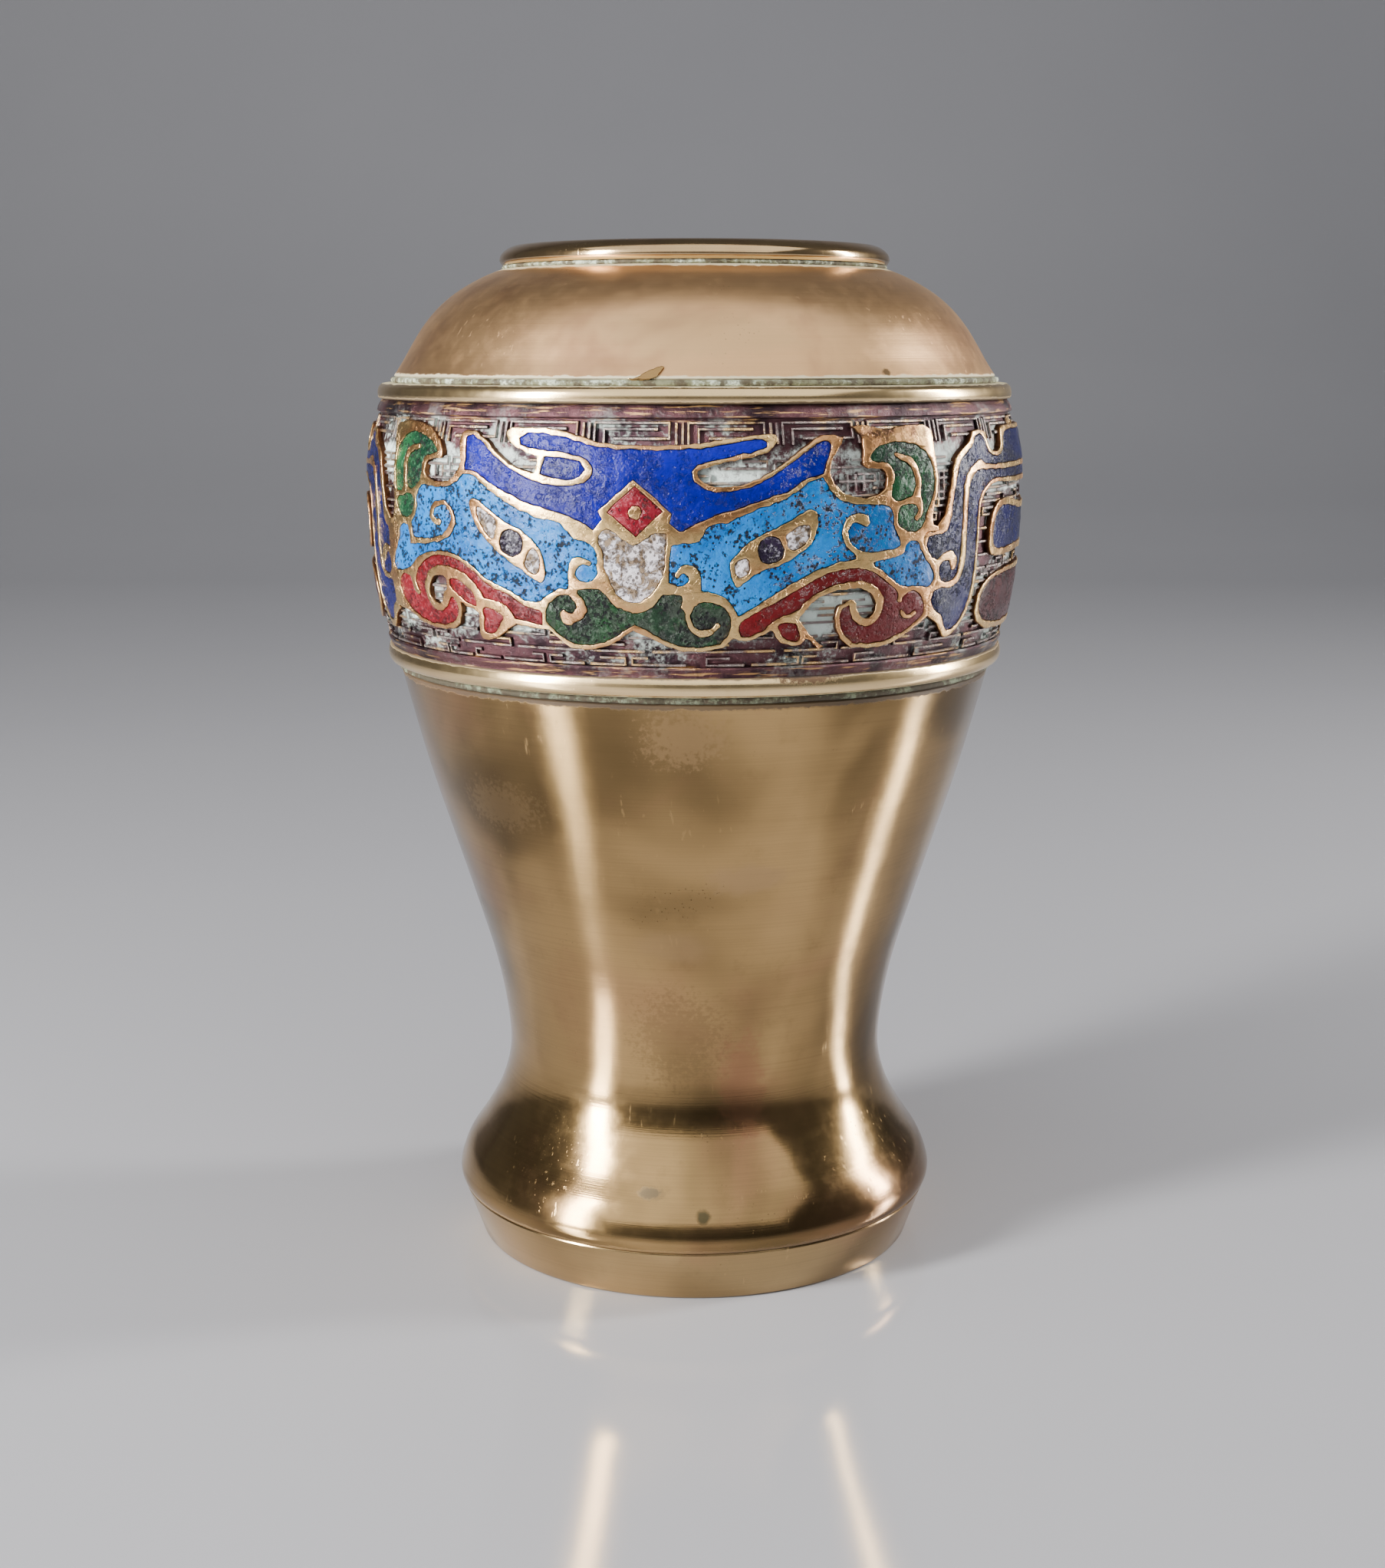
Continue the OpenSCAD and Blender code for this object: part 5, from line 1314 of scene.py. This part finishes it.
def hooks(dice):
    """Rows of squared hooks all round the band, like the ends of a key fret."""
    rung = 0.92
    lowest, highest = 94.35, 121
    paths = []
    z = lowest
    while z < highest:
        a = dice.uniform(0, 6)
        while a < 356:
            length = dice.uniform(5, 13)
            back = dice.uniform(0.25, 0.8) * length
            row = [(a, z), (a + length, z), (a + length, z + rung), (a + length - back, z + rung)]
            if dice.random() < 0.5:
                row = [(2 * a + length - p, q) for p, q in row]
            paths.append(row)
            a += length + dice.uniform(0.8, 1.6)
        z += 2 * rung
    return paths


def keys():
    """The top row: nested rectangles all round, under a plain border."""
    paths = []
    for k in range(24):
        a = -16 + 15 * k
        paths += [
            [(a, 123.1), (a, 125.9), (a + 12, 125.9), (a + 12, 123.9), (a + 3.2, 123.9)],
            [(a + 1.6, 123.1), (a + 1.6, 125.1), (a + 10.2, 125.1)],
            [(a + 13.1, 123.2), (a + 13.1, 125.9)],
            [(a + 14.1, 123.2), (a + 14.1, 125.9)],
        ]
    return paths


def uprights():
    """Upright bars in the narrow slots beside the horns."""
    bars = [
        (24.5, 117, 119.2), (26, 117, 119.2), (27.5, 117, 119.4), (42.9, 114.5, 119.2),
        (44.2, 115.5, 119.4), (-43.2, 118.6, 120.4), (-45, 118.4, 120.2), (-46.8, 118.4, 120),
    ]
    return [[(a + turn, low), (a + turn, high)] for turn in (0, 180) for a, low, high in bars]


def make_frets(brass):
    """The fret: ridges a little sunk in the ground, taller than wide, and unevenly worn."""
    bm = trail(hooks(random.Random(7)) + keys() + uprights(), 0.27)
    rise = bm.verts.layers.float.new("rise")
    for v in bm.verts:
        s, z, level = v.co / MM
        level = 1.25 * level + 0.12 + 0.12 * noise.noise(Vector((s * 0.2, z * 0.4, 5)))
        v[rise] = level
        v.co = on_side(s / BAND_R, z, barrel_radius(z) + level + GROUND)
    bmesh.ops.recalc_face_normals(bm, faces=bm.faces[:])
    piece("fret_ridges", bm, [brass], "brass_cast", sharp=45)


# ---- Masks and panels ----
def relief_of(outlines, top, edge, gap, wave, seed):
    """A drawing already unrolled, made solid and laid round the band."""
    bm = flat_solid(outlines, RELIEF_FOOT, top, edge, gap)
    cut_into_squares(bm)
    lay_round(bm, wave=wave, seed=seed)
    return bm


def make_walls(sides, name, outlines, brass, top, seed):
    """Cast walls, from the outlines of the whole drawing and of every cell in it."""
    bm = relief_of(outlines, top, edge=0.1, gap=0.0, wave=0.05, seed=seed)
    both_sides(sides, f"{name}_brass", bm, brass, "brass_walls", f"{name}_walls")


def fill_cells(sides, name, outlines, paste, slot, node, seed):
    """Enamel that fills the cells with these outlines."""
    bm = relief_of(outlines, ENAMEL_TOP, edge=0.12, gap=0.05, wave=0.12, seed=seed)
    both_sides(sides, name, bm, paste, slot, node, sharp=70)


MASK_CELLS = {
    "brow": [BROW, BROW_INLAY],
    "face": [FACE_RIGHT, EYE_RIGHT, FACE_LEFT, EYE_LEFT, FACE_TAIL],
    "horns": [HORN_RIGHT, HORN_LEFT, HORN_LEFT_CURL],
    "chin": [CHIN],
    "whiskers": [WHISKER_RIGHT, WHISKER_HOOK, WHISKER_RIGHT_SEED, WHISKER_LEFT,
                 WHISKER_LEFT_CURL, WHISKER_LEFT_SEED],
    "nose": [NOSE],
    "eye_whites": WHITES,
}
# Each enamel of a mask, with the end of its nodes' names and its slot
MASK_FILLS = {
    "brow": ("brow_cobalt", "cobalt_enamel"),
    "face": ("face_turquoise", "turquoise_enamel"),
    "horns": ("horns_green", "green_enamel"),
    "chin": ("chin_green", "dark_green_enamel"),
    "whiskers": ("whiskers_red", "red_enamel"),
    "diamond": ("diamond_red", "red_enamel"),
    "nose": ("nose_white", "white_enamel"),
    "eye_whites": ("eye_whites", "white_enamel"),
    "pupils": ("pupils", "dark_enamel"),
}


def make_masks(walls, pastes):
    """The front and back masks: cast walls, and nine enamels in their cells."""
    cells = {part: [unroll(outline(r)) for r in runs] for part, runs in MASK_CELLS.items()}
    cells["diamond"] = [unroll(outline(DIAMOND)), ring_round(DIAMOND_DOT, 1.0)]
    cells["pupils"] = [ring_round(p, 1.7) for p in PUPILS]
    metal = [unroll(outline(MASK)), unroll(outline(WHISKER_LEFT_EYE))]
    start = len(metal)
    metal = worn_back(metal + [o for drawings in cells.values() for o in drawings])
    for part, drawings in cells.items():
        cells[part] = metal[start:start + len(drawings)]
        start += len(drawings)
    sides = ("front", "back")
    make_walls(sides, "mask", metal, walls, 0.0, 1)
    for seed, (part, (node, slot)) in enumerate(MASK_FILLS.items(), 2):
        fill_cells(sides, f"{part}_enamel", cells[part], pastes[part], slot, node, seed)


def make_panels(walls, cobalt, red):
    """The arched panels: cobalt in the arch and the scroll, dark red in the lobe."""
    arch = [
        [(a - JOINT_HALF, z) for a, z in JOINT],
        *PANEL_ARCH_HALF, *[flipped(r) for r in reversed(PANEL_ARCH_HALF)],
        [(118.8, 99.8), (118.8, 112.2)],
        *[[(2 * PANEL_AXIS - a, z) for a, z in run] for run in PANEL_TOP_HALF],
        *[list(reversed(run)) for run in reversed(PANEL_TOP_HALF)],
    ]
    cells = (PANEL_LOWER_HALF, PANEL_UPPER_HALF, SCROLL_CELL_HALF, LOBE_CELL_HALF)
    drawings = [whole(SCROLL_HALF), whole(LOBE_HALF), arch, *[whole(half) for half in cells]]
    metal = worn_back([unroll(outline(runs)) for runs in drawings])
    *blue, dark = metal[-len(cells):]
    sides = ("right", "left")
    make_walls(sides, "panel", metal, walls, -0.02, 20)
    fill_cells(sides, "panel_blue", blue, cobalt, "cobalt_enamel", "panel_cobalt", 21)
    fill_cells(sides, "panel_dark_red", [dark], red, "red_enamel", "panel_red", 22)


def make_burr(brass):
    """The sliver that stands over the upper seam, against the shoulder."""
    bm = flat_solid([unroll(outline(BURR))], -0.1, 0.35, 0.08)
    cut_into_squares(bm, 1.0)
    lay_round(bm, radius=dome_radius, highest=1.0)
    piece("seam_burr", bm, [brass], "brass_turned", sharp=50)


# ---- The room ----
def make_stage():
    """A pale floor that curves up into a pale wall."""
    bm = bmesh.new()
    profile = [
        (-1.6, 0), (1.0, 0), (1.3, 0.03), (1.55, 0.14), (1.72, 0.34), (1.8, 0.65), (1.8, 2.2),
    ]
    wide = 4.4
    row = [bm.verts.new((-wide / 2, y, z)) for y, z in profile]
    edges = [bm.edges.new(pair) for pair in zip(row, row[1:])]
    made = bmesh.ops.extrude_edge_only(bm, edges=edges)["geom"]
    far_side = [v for v in made if isinstance(v, bmesh.types.BMVert)]
    bmesh.ops.translate(bm, verts=far_side, vec=(wide, 0, 0))
    bmesh.ops.recalc_face_normals(bm, faces=bm.faces[:])
    mesh = bpy.data.meshes.new("pale_floor")
    bm.to_mesh(mesh)
    bm.free()
    paper, b, shader = finish("pale_floor", Roughness=0.1, IOR=1.7)
    tone = b.noise(b.place(), 3, 3)
    b.feed(shader.inputs["Base Color"], b.mix(tone, paint(150, 150, 155), paint(158, 158, 162)))
    mesh.materials.append(paper)
    mesh.polygons.foreach_set("use_smooth", [True] * len(mesh.polygons))
    floor = bpy.data.objects.new("pale_floor", mesh)
    bpy.context.scene.collection.objects.link(floor)


def make_light(name, azimuth, height, distance, size, power, tint=(1, 1, 1)):
    """A soft lamp at an azimuth round from the front, aimed at the vase."""
    lamp = bpy.data.lights.new(name, "AREA")
    lamp.shape = "RECTANGLE"
    lamp.size, lamp.size_y = size
    lamp.energy = power
    lamp.color = tint
    a = math.radians(azimuth)
    made = bpy.data.objects.new(name, lamp)
    made.location = (distance * math.sin(a), -distance * math.cos(a), height)
    aim = Vector((0, 0, 0.09)) - made.location
    made.rotation_euler = aim.to_track_quat("-Z", "Y").to_euler()
    bpy.context.scene.collection.objects.link(made)


def make_room():
    """A tall window on each side, a wide soft light above, and a dim room."""
    make_stage()
    make_light("window_left", -57, 0.3, 0.8, (0.13, 0.5), 26, (1, 0.99, 0.97))
    make_light("window_right", 100, 0.3, 0.8, (0.1, 0.5), 14, (1, 0.98, 0.95))
    make_light("soft_above", 0, 1.05, 0.7, (2.6, 1.9), 21)
    world = bpy.data.worlds.new("room")
    world.use_nodes = True
    sky = world.node_tree.nodes["Background"]
    sky.inputs["Color"].default_value = (0.8, 0.82, 0.86, 1)
    sky.inputs["Strength"].default_value = 0.13
    bpy.context.scene.world = world


def make_camera():
    """Close to the vase, a little lower than its lip, and tipped down."""
    camera = bpy.data.cameras.new("camera")
    camera.lens = 51.08
    camera.sensor_width = 36
    camera.clip_start = 0.01
    tipped_down = math.radians(10.98)
    made = bpy.data.objects.new("camera", camera)
    made.location = (-0.0003, -0.336, 0.1348)
    made.rotation_euler = (math.pi / 2 - tipped_down, 0, 0)
    bpy.context.scene.collection.objects.link(made)
    bpy.context.scene.camera = made


# ---- The whole vase ----
def make_metal(inside):
    """The turned shells, then the beads and the seams that join them to the band."""
    make_body(body_brass(), inside)
    make_shoulder(dome_brass(), inside)
    make_foot(turned_brass("foot_brass", bright=paint(206, 174, 124)), inside)
    make_lip(turned_brass("lip_brass", tarnish=0.4, bright=paint(222, 188, 140)), inside)
    make_base(inside)
    lump = [(on_wall(19.5, 92.5, 45.6), (5.5, 4, 1.1), 1500, 2.4, paint(84, 56, 50), 0.85, 0.5)]
    make_bead("lower_bead", LOWER_BEAD, LOW_SLEEVE_R,
              bead_brass("lower_bead_brass", 92.7, 89.8, lump), "lower_bead_ring")
    make_bead("upper_bead", UPPER_BEAD, HIGH_SLEEVE_R,
              bead_brass("upper_bead_brass", 128.2, 130.6), "upper_bead_ring")
    crust = verdigris_crust("verdigris", paint(190, 200, 180), paint(104, 104, 78))
    # The lower seam's crust: real verdigris, made darker as painted shade under the lower bead
    shaded_crust = verdigris_crust("verdigris_with_painted_shade", paint(120, 128, 104), paint(58, 52, 36))
    make_seam("lower_seam", LOW_SLEEVE_R, 44.6, BODY_TOP, 89.8, shaded_crust, "lower_solder_seam")
    make_seam("upper_seam", HIGH_SLEEVE_R, 44.8, 130.5, BAND_TOP, crust, "upper_solder_seam")
    make_seam("lip_seam", COLLAR_R, 28.3, DOME_TOP, LIP_FOOT, crust, "lip_solder_seam")
    make_burr(turned_brass("burr_brass", bright=paint(206, 166, 106)))


def mask_pastes():
    """The enamels of a mask, by the part that each one fills."""
    # Painted shade: a broad, darker wine-red patch over the right whiskers, laid on with the chips
    right_whisker_shade = (on_wall(25, 100, 48), (20, 20, 20), 300, 0.5, paint(82, 8, 10), 0.8, 0.24)
    white = enamel("white", (204, 200, 208), (176, 166, 164), (238, 236, 240), 0.4, 0.8,
                   pit=(62, 50, 40), stains=1.0, stain=(112, 94, 74))
    return {
        "brow": enamel("cobalt", (0, 2, 132), (0, 2, 84), (66, 76, 170), 0.1, 0.3,
                       chips_and_shade=[chip(-23.5, 112.6, 2.4, 0.7), chip(5, 110.4, 1.5, 0.5)]),
        "face": enamel("turquoise", (0, 110, 186), (0, 76, 144), (16, 150, 202), 0.16, 1.0,
                       pit=(6, 14, 26),
                       chips_and_shade=[chip(21.5, 105.6, 0.9, 0.5), chip(26, 106, 0.7, 0.5),
                              chip(16, 112.8, 2.2, 0.35)]),
        "horns": enamel("sea_green", (28, 76, 44), (12, 38, 26), (96, 146, 108), 0.25, 0.8),
        "chin": enamel("moss_green", (20, 52, 26), (20, 26, 24), (92, 108, 92), 0.35, 1.0,
                       stains=0.6, stain=(40, 42, 38)),
        "whiskers": enamel("coral_red", (100, 14, 24), (74, 8, 12), (176, 86, 92), 0.3, 0.7,
                           pit=(50, 14, 16), chips_and_shade=[right_whisker_shade]),
        "diamond": enamel("rose_red", (112, 16, 32), (84, 10, 20), (178, 90, 102), 0.4, 0.7),
        "nose": white,
        "eye_whites": white,
        "pupils": enamel("plum", (38, 26, 48), (18, 12, 26), (190, 186, 200), 0.5, 0.6),
    }


def make_vase():
    """Every piece of the vase, with its finish."""
    inside = inside_brass()
    ground = ground_brass()
    walls = wall_brass()
    make_metal(inside)
    make_band(ground, inside)
    make_frets(ground)
    make_masks(walls, mask_pastes())
    slate = enamel("slate_cobalt", (6, 8, 68), (10, 10, 40), (62, 66, 120), 0.15, 0.7)
    dark_red = enamel("dark_red", (58, 8, 12), (36, 5, 8), (104, 50, 50), 0.3, 0.8)
    make_panels(walls, slate, dark_red)


make_camera()
make_room()
make_vase()
